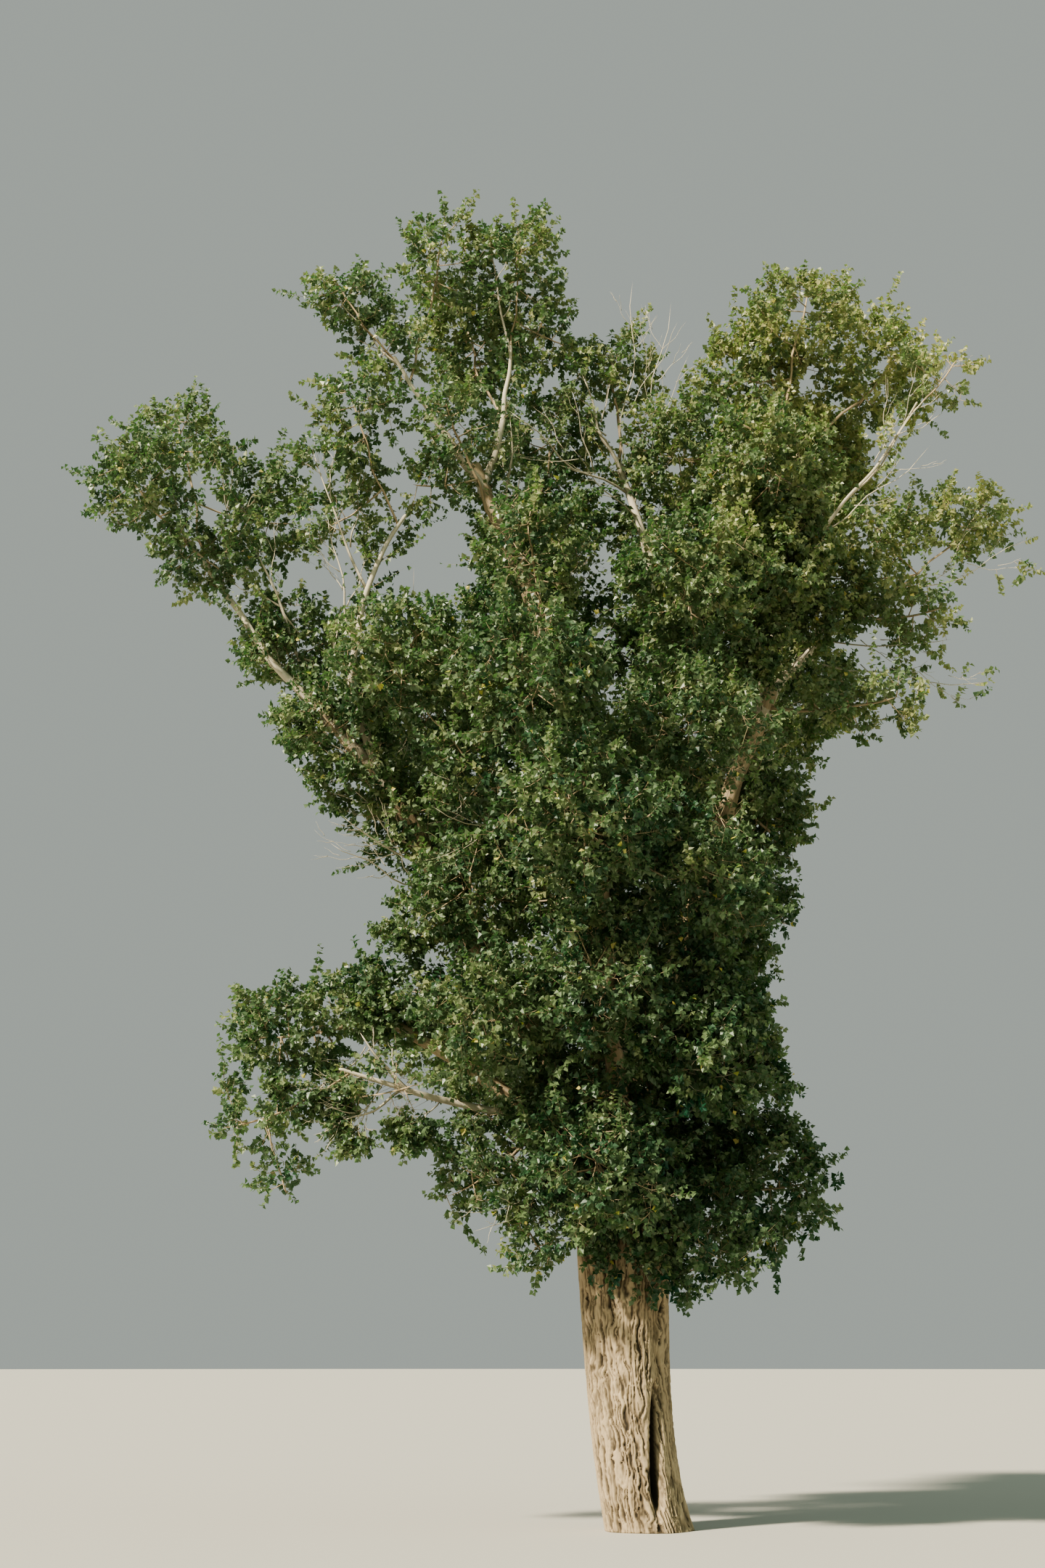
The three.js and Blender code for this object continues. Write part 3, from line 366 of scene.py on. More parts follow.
# Long twigs, bare or leafy: limb, share of its length, tip as it looks from the south, girth, number of side
# twigs, and leafy shoots to each end
TWIG_SEED = 13
LONG_TWIG_ROWS = 10
LONG_TWIG_SWAY = 0.035
LONG_TWIG_TAPER = 0.75
SIDE_TWIG_FROM = 0.3  # share of the long twig at which the first side twig leaves
SIDE_TWIG_BAND = 0.62  # share that they are spread over
SIDE_TWIG_SPREAD = 0.75
SIDE_TWIG_RISE = 0.15
SIDE_TWIG_GIRTH = 0.0035
SMALL_TWIGS = ((0.45, 1), (0.7, -1))  # share of the side twig, and the hand
SMALL_TWIG_SHARE = 0.4  # of the side twig's length
Twig = namedtuple("Twig", "limb at tip girth forks leafy", defaults=(0.014, 8, 6))
LONG_TWIGS = [Twig(*row) for row in [
    ("middle", 0.96, (-0.55, 0.2, 12.02), 0.034, 5, 2), ("middle", 0.97, (0.02, 0.3, 13.15), 0.013, 4, 0),
    ("middle", 0.9, (0.44, 0.2, 12.9), 0.012, 4, 0), ("middle", 0.93, (-1.36, -0.3, 11.6), 0.018, 5, 0),
    ("middle", 0.88, (-0.7, -0.5, 11.2), 0.012, 4, 0), ("top", 0.96, (-1.59, 0.1, 13.75), 0.02, 4, 3),
    ("top_west", 0.96, (-3.28, -0.4, 13), 0.018, 4, 3), ("leader", 0.86, (-1.34, -0.2, 11.5), 0.03, 3, 3),
    ("far_west", 0.12, (-4.13, -0.3, 10.1), 0.04, 5, 3),
    ("fork_west", 0.72, (-3.49, -0.7, 11.15), 0.022, 6, 3),
    ("fork_west", 0.5, (-3.31, -0.8, 10.45), 0.018, 5, 2), ("bare", 0.45, (3.51, -0.6, 12.2), 0.016, 7, 0),
    ("bare", 0.3, (3.24, -0.5, 11.2), 0.01, 3, 0), ("far_east", 0.55, (3.35, -0.1, 8.97), 0.012, 4, 2),
    ("far_east", 0.4, (3.77, -0.2, 8.5), 0.012, 4, 1), ("far_east", 0.9, (4.2, 0.4, 10.1), 0.01, 4, 2),
    ("broken", 0.66, (-2.85, -0.9, 4.78), 0.032, 3, 0), ("broken", 0.7, (-3.3, -1, 3.75), 0.018, 8, 0),
    ("broken", 0.9, (-3.45, -1, 4.2), 0.014, 6, 0), ("west", 0.72, (-3.08, -1.1, 7.04), 0.018, 8, 0),
    ("west", 0.66, (-3.2, -1, 6.75), 0.014, 6, 0), ("leader", 0.42, (-2.14, -1.9, 7.14), 0.016, 6, 0),
    ("trunk", 0.86, (-1.7, -1.15, 2.8), 0.013, 8, 0), ("trunk", 0.88, (0.06, -0.62, 2.26), 0.012),
    ("trunk", 0.9, (-0.2, -0.68, 2.62), 0.012), ("trunk", 0.9, (-0.5, -0.7, 3.05), 0.012),
    ("west", 0.95, (-3.6, -0.6, 8.2), 0.014, 6), ("west", 0.75, (-3.2, -0.8, 7.55), 0.014, 6),
    ("west", 0.5, (-2.5, -0.7, 5.95), 0.012, 6), ("low_west", 0.9, (-3.45, -0.7, 4.1), 0.014, 7),
    ("low_west", 0.8, (-2.75, -0.6, 5.05), 0.012, 6), ("broken", 0.5, (-2.4, -0.9, 3.72), 0.01, 6),
    ("broken", 0.8, (-3, -0.9, 3.75), 0.01, 6), ("low_west", 0.12, (-1, -0.8, 4.5), 0.012),
    ("far_west", 0.8, (-4.35, -0.1, 11.2), 0.014, 3, 5), ("far_west", 0.35, (-4.02, -0.35, 8.95), 0.01, 5),
    ("far_west", 0.1, (-3.55, -0.4, 8.35), 0.01, 5), ("east_top", 0.6, (1.45, -0.9, 10.45), 0.012, 7),
    ("east", 0.12, (0.75, 0.5, 4.15), 0.012), ("trunk", 0.97, (0.8, 1.1, 4.7), 0.012),
    ("leader", 0.3, (-0.6, 1, 6.5)), ("leader", 0.45, (-1.1, 1, 7.9)), ("leader", 0.65, (-1.5, 0.9, 9.3)),
    ("middle", 0.3, (0.2, 1.1, 7.9)), ("middle", 0.5, (0.3, 1.2, 9.2)), ("east", 0.7, (1.5, 1.1, 7.2)),
    ("east_top", 0.2, (1.4, 1.1, 9.5)), ("west", 0.6, (-1.9, 0.9, 6.9)), ("west", 0.9, (-2.6, 0.8, 8)),
    ("leader", 0.35, (-1.3, -0.9, 6.6)), ("middle", 0.3, (0.5, -0.7, 7.2)),
    ("trunk", 0.9, (0.9, 0.7, 3.5), 0.012), ("trunk", 0.9, (0.75, -0.2, 3.3), 0.012),
    ("leader", 0.75, (-0.5, -0.3, 10.5), 0.014, 7), ("middle", 0.55, (-0.25, -0.4, 8.9), 0.014, 7),
    ("east", 0.2, (1.3, -0.2, 4.6), 0.012, 7), ("trunk", 0.95, (1.35, -0.3, 4), 0.012, 7),
    ("east", 0.95, (1.3, -1, 9.1), 0.012), ("front", 0.45, (0.75, -2.1, 5.2)),
    ("front", 0.4, (1, -2.05, 4.75)), ("front", 0.35, (0.65, -2.1, 4.4)), ("front", 0.5, (1.1, -1.9, 5.15)),
    ("front", 0.4, (0.35, -2.2, 4.75)), ("front", 0.3, (1.15, -1.8, 4.4)),
    ("leader", 0.15, (-0.1, 0.95, 5.3)), ("leader", 0.25, (-0.7, 1.5, 6.2)), ("east", 0.4, (0.9, 1.7, 6.1)),
    ("east", 0.5, (1.15, 1.4, 6.2)), ("middle", 0.35, (0.6, 1.6, 8.7)), ("leader", 0.6, (-1, 1.5, 8.6)),
    ("east", 0.9, (1.5, 1.5, 8.7)), ("back", 0.1, (0.9, 1, 3.8)),
    ("leader", 0.75, (-1.4, 1.5, 10.2), 0.014, 7), ("east", 0.35, (0.95, 0.95, 5.5)),
    ("east", 0.8, (1.4, 1, 8.1)), ("leader", 0.8, (-0.9, 1, 10.4)), ("middle", 0.6, (0.1, 1.1, 10.4)),
    ("east_top", 0.5, (2.1, 1, 10.5)), ("east_top", 0.2, (1.7, -0.8, 9.85), 0.012),
    ("east_top", 0.08, (1.2, -0.85, 9.4), 0.012), ("east_top", 0.5, (1.4, -1.1, 10.1), 0.012),
    ("east_top", 0.3, (1.6, -1.25, 9.75), 0.012), ("east_top", 0.4, (1.75, -1.2, 10.2), 0.012),
    ("east", 0.97, (1.1, -0.8, 8.7), 0.012, 7), ("east_top", 0.4, (2.05, -0.9, 10.35), 0.012),
    ("far_east", 0.3, (2, -0.5, 9.35), 0.012, 7), ("far_east", 0.35, (2.35, -0.3, 9.75), 0.012, 7),
]]

# Stage
EYE = (-1.204, -21.95, 1.6)
TILT = 14.75
LENS = 50
SENSOR = 36
FLOOR_RADIUS = 300
FLOOR_SIDES = 96
SKY_COLOUR = (0.8, 0.87, 0.81)
SUN_COLOUR = (1.0, 0.91, 0.76)
SUN_SPREAD = 5
SUN_TRAVEL = (0.74, 0.67)  # east and north, for one level metre
FILL_COLOUR = (0.45, 1.0, 0.7)
FILL_SPREAD = 140
FILL_TRAVEL = (-0.25, 0.9, -0.35)


def hashed(column, row, seed):
    """A number from 0 to 1 for each pair of whole numbers: a large sine's fraction."""
    mixed = np.sin(column * 127.1 + row * 311.7 + seed * 74.7) * 43758.5453
    return mixed - np.floor(mixed)


def smooth_noise(across, up, wrap, seed):
    """Hashed corners of a grid, blended along each side by 3t^2 - 2t^3; it closes after wrap columns."""
    column = np.floor(across)
    row = np.floor(up)
    t = across - column
    s = up - row
    t = t * t * (3 - 2 * t)
    s = s * s * (3 - 2 * s)
    left = np.mod(column, wrap)
    right = np.mod(column + 1, wrap)
    low = hashed(left, row, seed) * (1 - t) + hashed(right, row, seed) * t
    high = hashed(left, row + 1, seed) * (1 - t) + hashed(right, row + 1, seed) * t
    return low * (1 - s) + high * s


def unit(vectors):
    return vectors / np.maximum(np.linalg.norm(vectors, axis=-1, keepdims=True), 1e-9)


def full_turn(count):
    """Angles at even steps round a whole turn."""
    return 2 * math.pi * np.arange(count) / count


def ways_round(heading, turn):
    """The way out of a heading at a turn about it: cos turn times one side plus sin turn times the other."""
    side = unit(np.cross(heading, REFERENCE))
    return np.cos(turn) * side + np.sin(turn) * np.cross(heading, side)


def slanted(weights, out, heading, random):
    """A unit way that slants: the sum of four ways by their weights."""
    across, along, up, scatter = weights
    return unit(across * out + along * heading + up * UP + scatter * random.normal(size=out.shape))


def by_chance(band, chance):
    least, more = band
    return least + more * chance


def numbered(count):
    """Where each row stands count times: the row of each copy, and the copy's number in its row."""
    row = np.repeat(np.arange(len(count)), count)
    return row, np.arange(len(row)) - np.repeat(np.cumsum(count) - count, count)


def in_lots(numbers):
    """Row numbers, a lot at a time, so that a table of distances stays small."""
    return np.array_split(numbers, max(1, len(numbers) // LOT))


def sight_scale(north):
    return 1 - north / VIEWPOINT[1]


def set_out(place):
    """A place in the tables, moved along its line of sight to its own depth."""
    east, north, up = place
    scale = sight_scale(north)
    return np.array([
        VIEWPOINT[0] + scale * (east - VIEWPOINT[0]),
        north,
        VIEWPOINT[2] + scale * (up - VIEWPOINT[2]),
    ])


class Limb:
    """A tapering limb along a bowed line.

    Its axis is (1-s)^2 foot + 2s(1-s) middle + s^2 tip, plus a slow sway that is nothing at both ends.
    """

    def __init__(self, foot, tip, bow, girth, collar, sway, seed):
        self.foot = foot
        self.tip = tip
        self.middle = (foot + tip) / 2 + 2 * np.asarray(bow, float)
        self.girth = girth
        self.collar = collar
        self.length = float(np.linalg.norm(tip - foot))
        self.sway = sway * self.length
        self.seed = seed

    def axis(self, share):
        s = np.asarray(share, float)[..., None]
        line = (1 - s) ** 2 * self.foot + 2 * s * (1 - s) * self.middle + s * s * self.tip
        phase = self.seed * 1.7
        wave = np.concatenate([
            np.sin(9.5 * s + phase) + 0.5 * np.sin(21 * s + 2 * phase),
            np.sin(8.3 * s + 3 * phase) + 0.5 * np.sin(19 * s + phase),
            np.zeros_like(s),
        ], axis=-1)
        return line + self.sway * 4 * s * (1 - s) * wave

    def radius(self, share):
        s = np.asarray(share, float)
        foot, tip = self.girth
        wider = self.collar * foot * np.exp(-s * self.length / (2 * foot))
        return foot + (tip - foot) * np.clip(s, 0, 1) ** TAPER + wider


class Trunk:
    """The trunk: its axis leans west and straightens, and its outline flares, swells and narrows at the
    shoulder; its folds are cut in with the bark.
    """

    length = TRUNK_HEIGHT

    def axis(self, share):
        height = np.asarray(share, float) * TRUNK_HEIGHT
        lean = -TRUNK_LEAN * (1 - np.exp(-height / LEAN_HEIGHT))
        return np.stack([lean, np.zeros_like(height), height], axis=-1)

    def radius(self, share):
        height = np.asarray(share, float) * TRUNK_HEIGHT
        swell = TRUNK_SWELL * np.minimum(1, (height / SWELL_HEIGHT) ** SWELL_CURVE)
        flare = ROOT_FLARE * np.exp(-height / FLARE_HEIGHT)
        shoulder = np.clip((height - SHOULDER_HEIGHT) / (TRUNK_HEIGHT - SHOULDER_HEIGHT), 0, 1)
        return (TRUNK_WAIST + swell + flare) * (1 - SHOULDER_LOSS * shoulder**2)


def heading_at(limb, share):
    s = np.clip(np.asarray(share, float), HEADING_STEP, 1 - HEADING_STEP)
    return unit(limb.axis(s + HEADING_STEP) - limb.axis(s - HEADING_STEP))


def fold_depth(fold, angle, height):
    """A groove down the trunk: depth times a bell across its heading, which turns upwards; its ends fade."""
    heading = np.radians(fold.heading + fold.turn * (height - fold.low))
    off = np.degrees(np.angle(np.exp(1j * (angle - heading))))
    rising = np.clip((height - fold.low) / fold.fade, 0, 1)
    ending = np.clip((fold.high - height) / fold.fade, 0, 1)
    return fold.depth * np.minimum(rising, ending) * np.exp(-((off / fold.width) ** 2))


def knot_lift(knot, angle, height, radius):
    """A swelling round a knot, with a hollow at its middle, and how much painted shade that hollow gets."""
    off = np.angle(np.exp(1j * (angle - math.radians(knot.heading)))) * radius
    apart = np.hypot(off, height - knot.height) / knot.size
    hollow = np.exp(-((apart / HOLLOW_SIZE) ** 2))
    return knot.lift * (np.exp(-(apart**2)) - HOLLOW_DEPTH * hollow), hollow


def grown_limbs():
    limbs = {"trunk": Trunk()}
    parents = {row.parent for row in BOUGHS}
    for index, row in enumerate(BOUGHS):
        parent = limbs[row.parent]
        foot = parent.axis(row.at)
        tip = set_out(row.tip)
        if row.parent == "trunk":
            foot = foot + TRUNK_CORE * unit((tip - foot) * (1, 1, 0))
        first = 1 if row.parent == "trunk" else FINENESS
        last = FINENESS if row.name in parents else TIP_FINENESS
        girth = (row.girth[0] * first, row.girth[1] * last)
        limbs[row.name] = Limb(foot, tip, row.bow, girth, COLLAR, LIMB_SWAY, index + 1)
    return limbs


LIMBS = grown_limbs()


def side_gap(across, up, wrap, seed):
    """How far each place is from the side of its cell, and how upright that side is.

    Each square of the grid holds one middle, moved by two hashes, and a cell is what lies nearest
    to its middle. The gap is the way to the second nearest middle less the way to the nearest.
    """
    column = np.floor(across)
    row = np.floor(up)
    first = np.full((3, *np.broadcast(across, up).shape), 9.0)
    second = first.copy()
    for right in (-1, 0, 1):
        for above in (-1, 0, 1):
            key = np.mod(column + right, wrap)
            east = column + right + 0.1 + 0.8 * hashed(key, row + above, seed) - across
            high = row + above + 0.1 + 0.8 * hashed(key, row + above, seed + 1) - up
            here = np.stack([np.hypot(east, high), east, high])
            later = np.where(here[0] < first[0], first, here)
            first = np.where(here[0] < first[0], here, first)
            second = np.where(later[0] < second[0], later, second)
    apart = second[1:] - first[1:]
    upright = np.abs(apart[0]) / np.maximum(np.hypot(*apart), 1e-6)
    return second[0] - first[0], np.clip(2.2 * upright - 0.9, 0, 1)


def bark_relief(around, along, columns, seed):
    """Interlaced ridges, from -1 on a crack's floor to 0 on a ridge.

    Cracks run down the sides of tall cells, and of finer cells within them, but not across their
    ends. Noises sway them and fade them in and out, and three more roughen the ridges.
    """
    def noise(cells, rise, number):
        return smooth_noise(around * cells, along * rise, cells, seed + number) - 0.5

    def summed(noises, first):
        terms = enumerate(noises, first)
        return sum(weight * noise(cells * columns, rise, number) for number, (weight, cells, rise) in terms)

    sway = summed(SWAY_NOISES, 0)
    shift = summed(SHIFT_NOISES, 4)
    cracks = 0
    for index, (finer, length, depth, width) in enumerate(CRACKS):
        cells = finer * columns
        across = finer * (around * columns + sway)
        gap, upright = side_gap(across, along / length + shift, cells, seed + 6 + 2 * index)
        fade = np.clip(0.75 + 1.6 * noise(cells, 6, 12 + index), 0, 1)
        slope = np.clip(1 - gap / (width * (0.5 + fade)), 0, 1)
        cracks = np.maximum(cracks, depth * fade * upright * slope)
    return -np.clip(1.15 * cracks + summed(ROUGH_NOISES, 20) + 0.06, 0, 1)


def furrows_round(radius, bark):
    return max(FEWEST_FURROWS, 4 * round(2 * math.pi * radius / bark.furrow_spacing / 4))


def tube_faces(rows, columns):
    """Quads between each ring and the next, closed round, as rows of four corner numbers."""
    ring = np.arange(rows - 1)[:, None] * columns
    here = np.arange(columns)[None, :]
    after = (here + 1) % columns
    quads = np.stack([ring + here, ring + after, ring + columns + after, ring + columns + here], axis=-1)
    return quads.reshape(-1, 4)


def placed(name, data):
    made = bpy.data.objects.new(name, data)
    bpy.context.scene.collection.objects.link(made)
    return made


def mesh_object(name, points, faces, attributes=None, smooth=True):
    """A mesh from arrays: faces is a list of arrays, each with three or four corners to a row."""
    mesh = bpy.data.meshes.new(name)
    points = np.asarray(points, np.float32).reshape(-1, 3)
    corners = np.concatenate([part.reshape(-1) for part in faces]).astype(np.int32)
    sizes = np.concatenate([np.full(len(part), part.shape[1]) for part in faces]).astype(np.int32)
    starts = np.concatenate([[0], np.cumsum(sizes)[:-1]]).astype(np.int32)
    mesh.vertices.add(len(points))
    mesh.vertices.foreach_set("co", points.ravel())
    mesh.loops.add(len(corners))
    mesh.loops.foreach_set("vertex_index", corners)
    mesh.polygons.add(len(sizes))
    mesh.polygons.foreach_set("loop_start", starts)
    mesh.polygons.foreach_set("use_smooth", np.full(len(sizes), smooth))
    for title, values in (attributes or {}).items():
        layer = mesh.attributes.new(title, "FLOAT", "POINT")
        layer.data.foreach_set("value", np.asarray(values, np.float32).ravel())
    mesh.update(calc_edges=True)
    mesh.validate()
    return placed(name, mesh)


def closed_tube(name, centres, rims, radii, attributes):
    """Rings round each centre, at centre + radius times the rim's way out, with a point at each end."""
    rows, columns = radii.shape
    points = centres[:, None] + radii[..., None] * rims
    first = rows * columns
    points = np.concatenate([points.reshape(-1, 3), centres[:1], centres[-1:]])
    here = np.arange(columns)
    after = (here + 1) % columns
    foot = np.stack([np.full(columns, first), after, here], axis=-1)
    last = (rows - 1) * columns
    tip = np.stack([np.full(columns, first + 1), last + here, last + after], axis=-1)
    values = {
        title: np.concatenate([grid.ravel(), grid[0].mean()[None], grid[-1].mean()[None]])
        for title, grid in attributes.items()
    }
    return mesh_object(name, points, [tube_faces(rows, columns), foot, tip], values)


def finished(made, material, slot, *nodes):
    made.data.materials.append(material)
    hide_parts(*nodes)
    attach(made, "root")
    return made


def shader(name):
    material = bpy.data.materials.new(name)
    material.use_nodes = True
    return material, material.node_tree, material.node_tree.nodes["Principled BSDF"]


def fill_inputs(tree, node, inputs):
    """Gives each of a node's inputs its value, or a link where that is another node's output."""
    for name, value in inputs.items():
        if isinstance(value, bpy.types.NodeSocket):
            tree.links.new(value, node.inputs[name])
        else:
            node.inputs[name].default_value = value


def add_node(tree, kind, inputs, **settings):
    node = tree.nodes.new(f"ShaderNode{kind}")
    for name, value in settings.items():
        setattr(node, name, value)
    fill_inputs(tree, node, inputs)
    return node


def ramp_of(tree, source, stops):
    ramp = add_node(tree, "ValToRGB", {0: source})
    points = ramp.color_ramp.elements
    while len(points) < len(stops):
        points.new(0.5)
    for point, (place, colour) in zip(points, stops):
        point.position = place
        point.color = (*colour, 1)
    return ramp.outputs[0]


def bark_material(name, bark):
    """Bark: colour by the relief attribute, mottled by noise, with fine bumps."""
    bump_height, is_pale = BARKS[name]
    # tones from the furrows' floors up: darker below, partly the bark's own colour, partly painted shade
    tones = (bark.flank, bark.ridge, bark.pale) if is_pale else (bark.furrow, bark.flank, bark.ridge)
    material, tree, surface = shader(name)
    relief = add_node(tree, "Attribute", {}, attribute_name="relief")
    raised = add_node(tree, "Math", {0: relief.outputs["Fac"], 1: 1.0}, operation="ADD")
    depth = ramp_of(tree, raised.outputs[0], list(zip((0.0, 0.45, 0.95), tones)))
    where = add_node(tree, "TexCoord", {})
    stretch = add_node(tree, "Mapping", {"Vector": where.outputs["Object"], "Scale": (1, 1, 0.22)})
    place = stretch.outputs[0]
    mottle = add_node(tree, "TexNoise", {"Vector": place, "Scale": 5, "Detail": 8, "Roughness": 0.65})
    greys = [(0.25, (0.52, 0.5, 0.47)), (0.5, (0.9, 0.9, 0.89)), (0.75, (1.0, 1.0, 1.0))]
    # the mottle is the bark's own patchy tone, with no light or shade in it
    shade = ramp_of(tree, mottle.outputs["Fac"], greys)
    both = {"Factor": 0.85, "A": depth, "B": shade}
    blend = add_node(tree, "Mix", both, data_type="RGBA", blend_type="MULTIPLY")
    fine = add_node(tree, "TexNoise", {"Vector": place, "Scale": 60, "Detail": 6})
    rise = {"Strength": 0.6, "Distance": bump_height, "Height": fine.outputs["Fac"]}
    bump = add_node(tree, "Bump", rise)
    fill_inputs(tree, surface, {
        "Base Color": blend.outputs["Result"],
        "Normal": bump.outputs[0],
        "Roughness": 0.92,
        "Specular IOR Level": 0.25,
    })
    return material


def leaf_material(name, colour, glow):
    """A glossy leaf that lets some light through; glow is the colour of that light."""
    material, tree, surface = shader(name)
    looks = {"Base Color": (*colour, 1), "Roughness": LEAF_GLOSS, "Specular IOR Level": 0.5}
    fill_inputs(tree, surface, looks)
    through = add_node(tree, "BsdfTranslucent", {"Color": (*glow, 1)})
    mix = add_node(tree, "MixShader", {"Fac": LEAF_GLOW, 1: surface.outputs[0], 2: through.outputs[0]})
    fill_inputs(tree, tree.nodes["Material Output"], {"Surface": mix.outputs[0]})
    return material


def make_trunk(bark):
    """The trunk's rings, with folds, knots and the bark's relief cut into its radius, domed at the fork."""
    fine = np.linspace(0, FINE_HEIGHT, TRUNK_FINE_ROWS, endpoint=False)
    height = np.concatenate([fine, np.linspace(FINE_HEIGHT, TRUNK_HEIGHT, TRUNK_COARSE_ROWS)])[:, None]
    angle = full_turn(TRUNK_COLUMNS)[None, :]
    share = height / TRUNK_HEIGHT
    relief = bark_relief(angle / (2 * math.pi), height, furrows_round(TRUNK_WAIST, bark), bark.seed)
    radius = LIMBS["trunk"].radius(share) * (1 + BUTTRESS_DEPTH * np.cos(BUTTRESSES * angle))
    # painted shade, put into the bark colour where a fold is deep and in the knots' hollows
    painted_shade = np.zeros_like(radius)
    for fold in FOLDS:
        depth = fold_depth(fold, angle, height)
        radius = radius - depth
        painted_shade = np.maximum(painted_shade, np.clip((depth - FOLD_PAINTED_SHADE_FROM) / FOLD_PAINTED_SHADE_OVER, 0, 1))
    for knot in KNOTS:
        lift, hollow = knot_lift(knot, angle, height, radius)
        radius = radius + lift
        painted_shade = np.maximum(painted_shade, 0.9 * hollow)
    radius = radius + bark.furrow_depth * (relief * (1 - painted_shade) + TRUNK_LIFT)
    dome = np.clip((TRUNK_HEIGHT - height) / DOME_HEIGHT, 0, 1)
    radius = radius * np.sqrt(1 - (1 - dome) ** 2 * 0.98)
    centres = LIMBS["trunk"].axis(share[:, 0])
    rims = np.stack([np.cos(angle), np.sin(angle), np.zeros_like(angle)], axis=-1)
    # the relief attribute also carries that painted shade, down to the darkest bark tone
    return closed_tube("trunk_bark", centres, rims, radius, {"relief": np.minimum(relief, -painted_shade)})


def make_bough(row, bark):
    """A bough's rings: furrowed where thick, smooth where thin, with a round butt in its parent."""
    limb = LIMBS[row.name]
    foot_radius, tip_radius = row.girth
    butt = BUTT_REACH * foot_radius / limb.length
    cap = CAP_REACH * tip_radius
    share = np.concatenate([
        -butt * np.cos(np.linspace(0.12, 1.45, 9)),
        np.linspace(0, 1, max(24, int(limb.length / bark.ring_step))),
        1 + cap / limb.length * np.sin(np.linspace(0.3, 1.45, 5)),
    ])
    inside = np.clip(share, 0, 1)
    past = np.where(share < 0, share / butt, np.maximum(0, share - 1) * limb.length / cap)
    heading = heading_at(limb, inside)
    centres = limb.axis(inside) + heading * ((share - inside) * limb.length)[:, None]
    along = (inside * limb.length)[:, None]
    thick = limb.radius(inside)[:, None]
    columns = int(np.clip(round(2 * math.pi * foot_radius / bark.column_step), 14, 90))
    around = (np.arange(columns) / columns)[None, :]
    relief = bark_relief(around, along, furrows_round(foot_radius, bark), limb.seed + 20)
    age = np.clip((thick - SMOOTH_BELOW) / FURROWED_OVER, 0, 1)
    knots = smooth_noise(around * KNOTS_ROUND, along * KNOTS_PER_M, KNOTS_ROUND, limb.seed + 40) - 0.5
    furrows = bark.furrow_depth * BOUGH_FURROWS * age * (relief + BOUGH_LIFT)
    radius = thick * (1 + KNOT_SWELL * knots) + furrows
    radius = radius * np.sqrt(np.clip(1 - past**2, 0.0004, 1))[:, None]
    rims = ways_round(heading[:, None], full_turn(columns)[:, None])
    faint = {"relief": relief * (0.18 + 0.82 * age)}
    return closed_tube(f"bough_{row.name}_bark", centres, rims, radius, faint)


def reach_in(lobe, points):
    """How near each point is to a lobe's outside: 0 at its middle, 1 on its outside."""
    middle, sizes = lobe
    return np.linalg.norm((points - middle) / sizes, axis=-1)


def lumpy_limit(lobe, points, seed):
    """A lobe's outside by direction: its edge less a noise over heading and height."""
    off = (points - lobe[0]) / lobe[1]
    heading = np.arctan2(off[:, 1], off[:, 0]) / (2 * math.pi) * LUMPS_ROUND
    height = LUMPS_UP * off[:, 2] / np.maximum(np.linalg.norm(off, axis=-1), 1e-6)
    return LOBE_EDGE - LOBE_LUMPS * smooth_noise(heading, height, LUMPS_ROUND, seed)


def stem_through(lobe, foot, girth, seed):
    """A mass's stem runs from its limb's axis on through a lobe."""
    through = unit(lobe[0] - foot)
    tip = lobe[0] + through * STEM_REACH / np.linalg.norm(through / lobe[1])
    bow = -UP * STEM_SAG * np.linalg.norm(tip - foot)
    return Limb(foot, tip, bow, girth, 0, STEM_SWAY, seed)


def spread_targets(lobe, count, band, random):
    """Places in a lobe, even on all sides by the golden angle, each with its own share of the way out."""
    step = np.arange(count)
    up = 1 - 2 * (step + 0.5) / count
    flat = np.sqrt(1 - up * up)
    heading = step * GOLDEN_ANGLE + random.random()
    way = np.stack([flat * np.cos(heading), flat * np.sin(heading), up], axis=-1)
    way = unit(way + TARGET_SCATTER * random.normal(size=way.shape))
    inner, outer = band
    reach = inner + (outer - inner) * random.random(count) ** 0.6
    points = lobe[0] + way * reach[:, None] * lobe[1]
    return points[random.permutation(count)]


def grow_wave(lobe, joints, targets, finest, reach_on, seed):
    """Each target gets a twig from the joint that is nearest, counting a turn back inwards as further.

    joints is a list of places and one of girths, which grow as the twigs do. A target past the
    lobe's lumpy outside moves in to it. Returns the twigs' feet, tips and foot girths.
    """
    places, thick = joints
    room = len(places)
    spare = len(CHILD_JOINTS) * len(targets)
    places = np.concatenate([places, np.zeros((spare, 3))])
    thick = np.concatenate([thick, np.zeros(spare)])
    feet, tips, sizes = [], [], []
    limits = reach_on * lumpy_limit(lobe, targets, seed)
    reaches = reach_in(lobe, targets)
    for target, limit, reach in zip(targets, limits, reaches):
        if reach > limit:
            target = lobe[0] + (target - lobe[0]) * limit / reach
        way = target - places[:room]
        distance = np.linalg.norm(way, axis=-1)
        outward = unit(target - lobe[0])
        turn = 1 - way @ outward / np.maximum(distance, 1e-6)
        used = np.argmin(distance * (1 + TURN_COST * turn) - GIRTH_PULL * thick[:room])
        if distance[used] < SHORTEST_BRANCHLET:
            continue
        foot = places[used]
        girth = max(finest, CHILD_GIRTH * thick[used])
        feet.append(foot)
        tips.append(target)
        sizes.append(girth)
        for share in CHILD_JOINTS:
            places[room] = foot + (target - foot) * share
            thick[room] = girth * (1 - JOINT_TAPER * share)
            room += 1
    joints[:] = [places[:room], thick[:room]]
    return np.array(feet).reshape(-1, 3), np.array(tips).reshape(-1, 3), np.array(sizes)


def in_own_space(points, mass, edge, spaces):
    """Whether no other mass's lobe has each point further inside it than its own lobe does."""
    own = np.ones(len(points), bool)
    for other, lobe in spaces:
        if other != mass:
            reach = reach_in(lobe, points)
            own &= (reach > edge - OWN_MARGIN) | (reach > SHARED_EDGE)
    return own


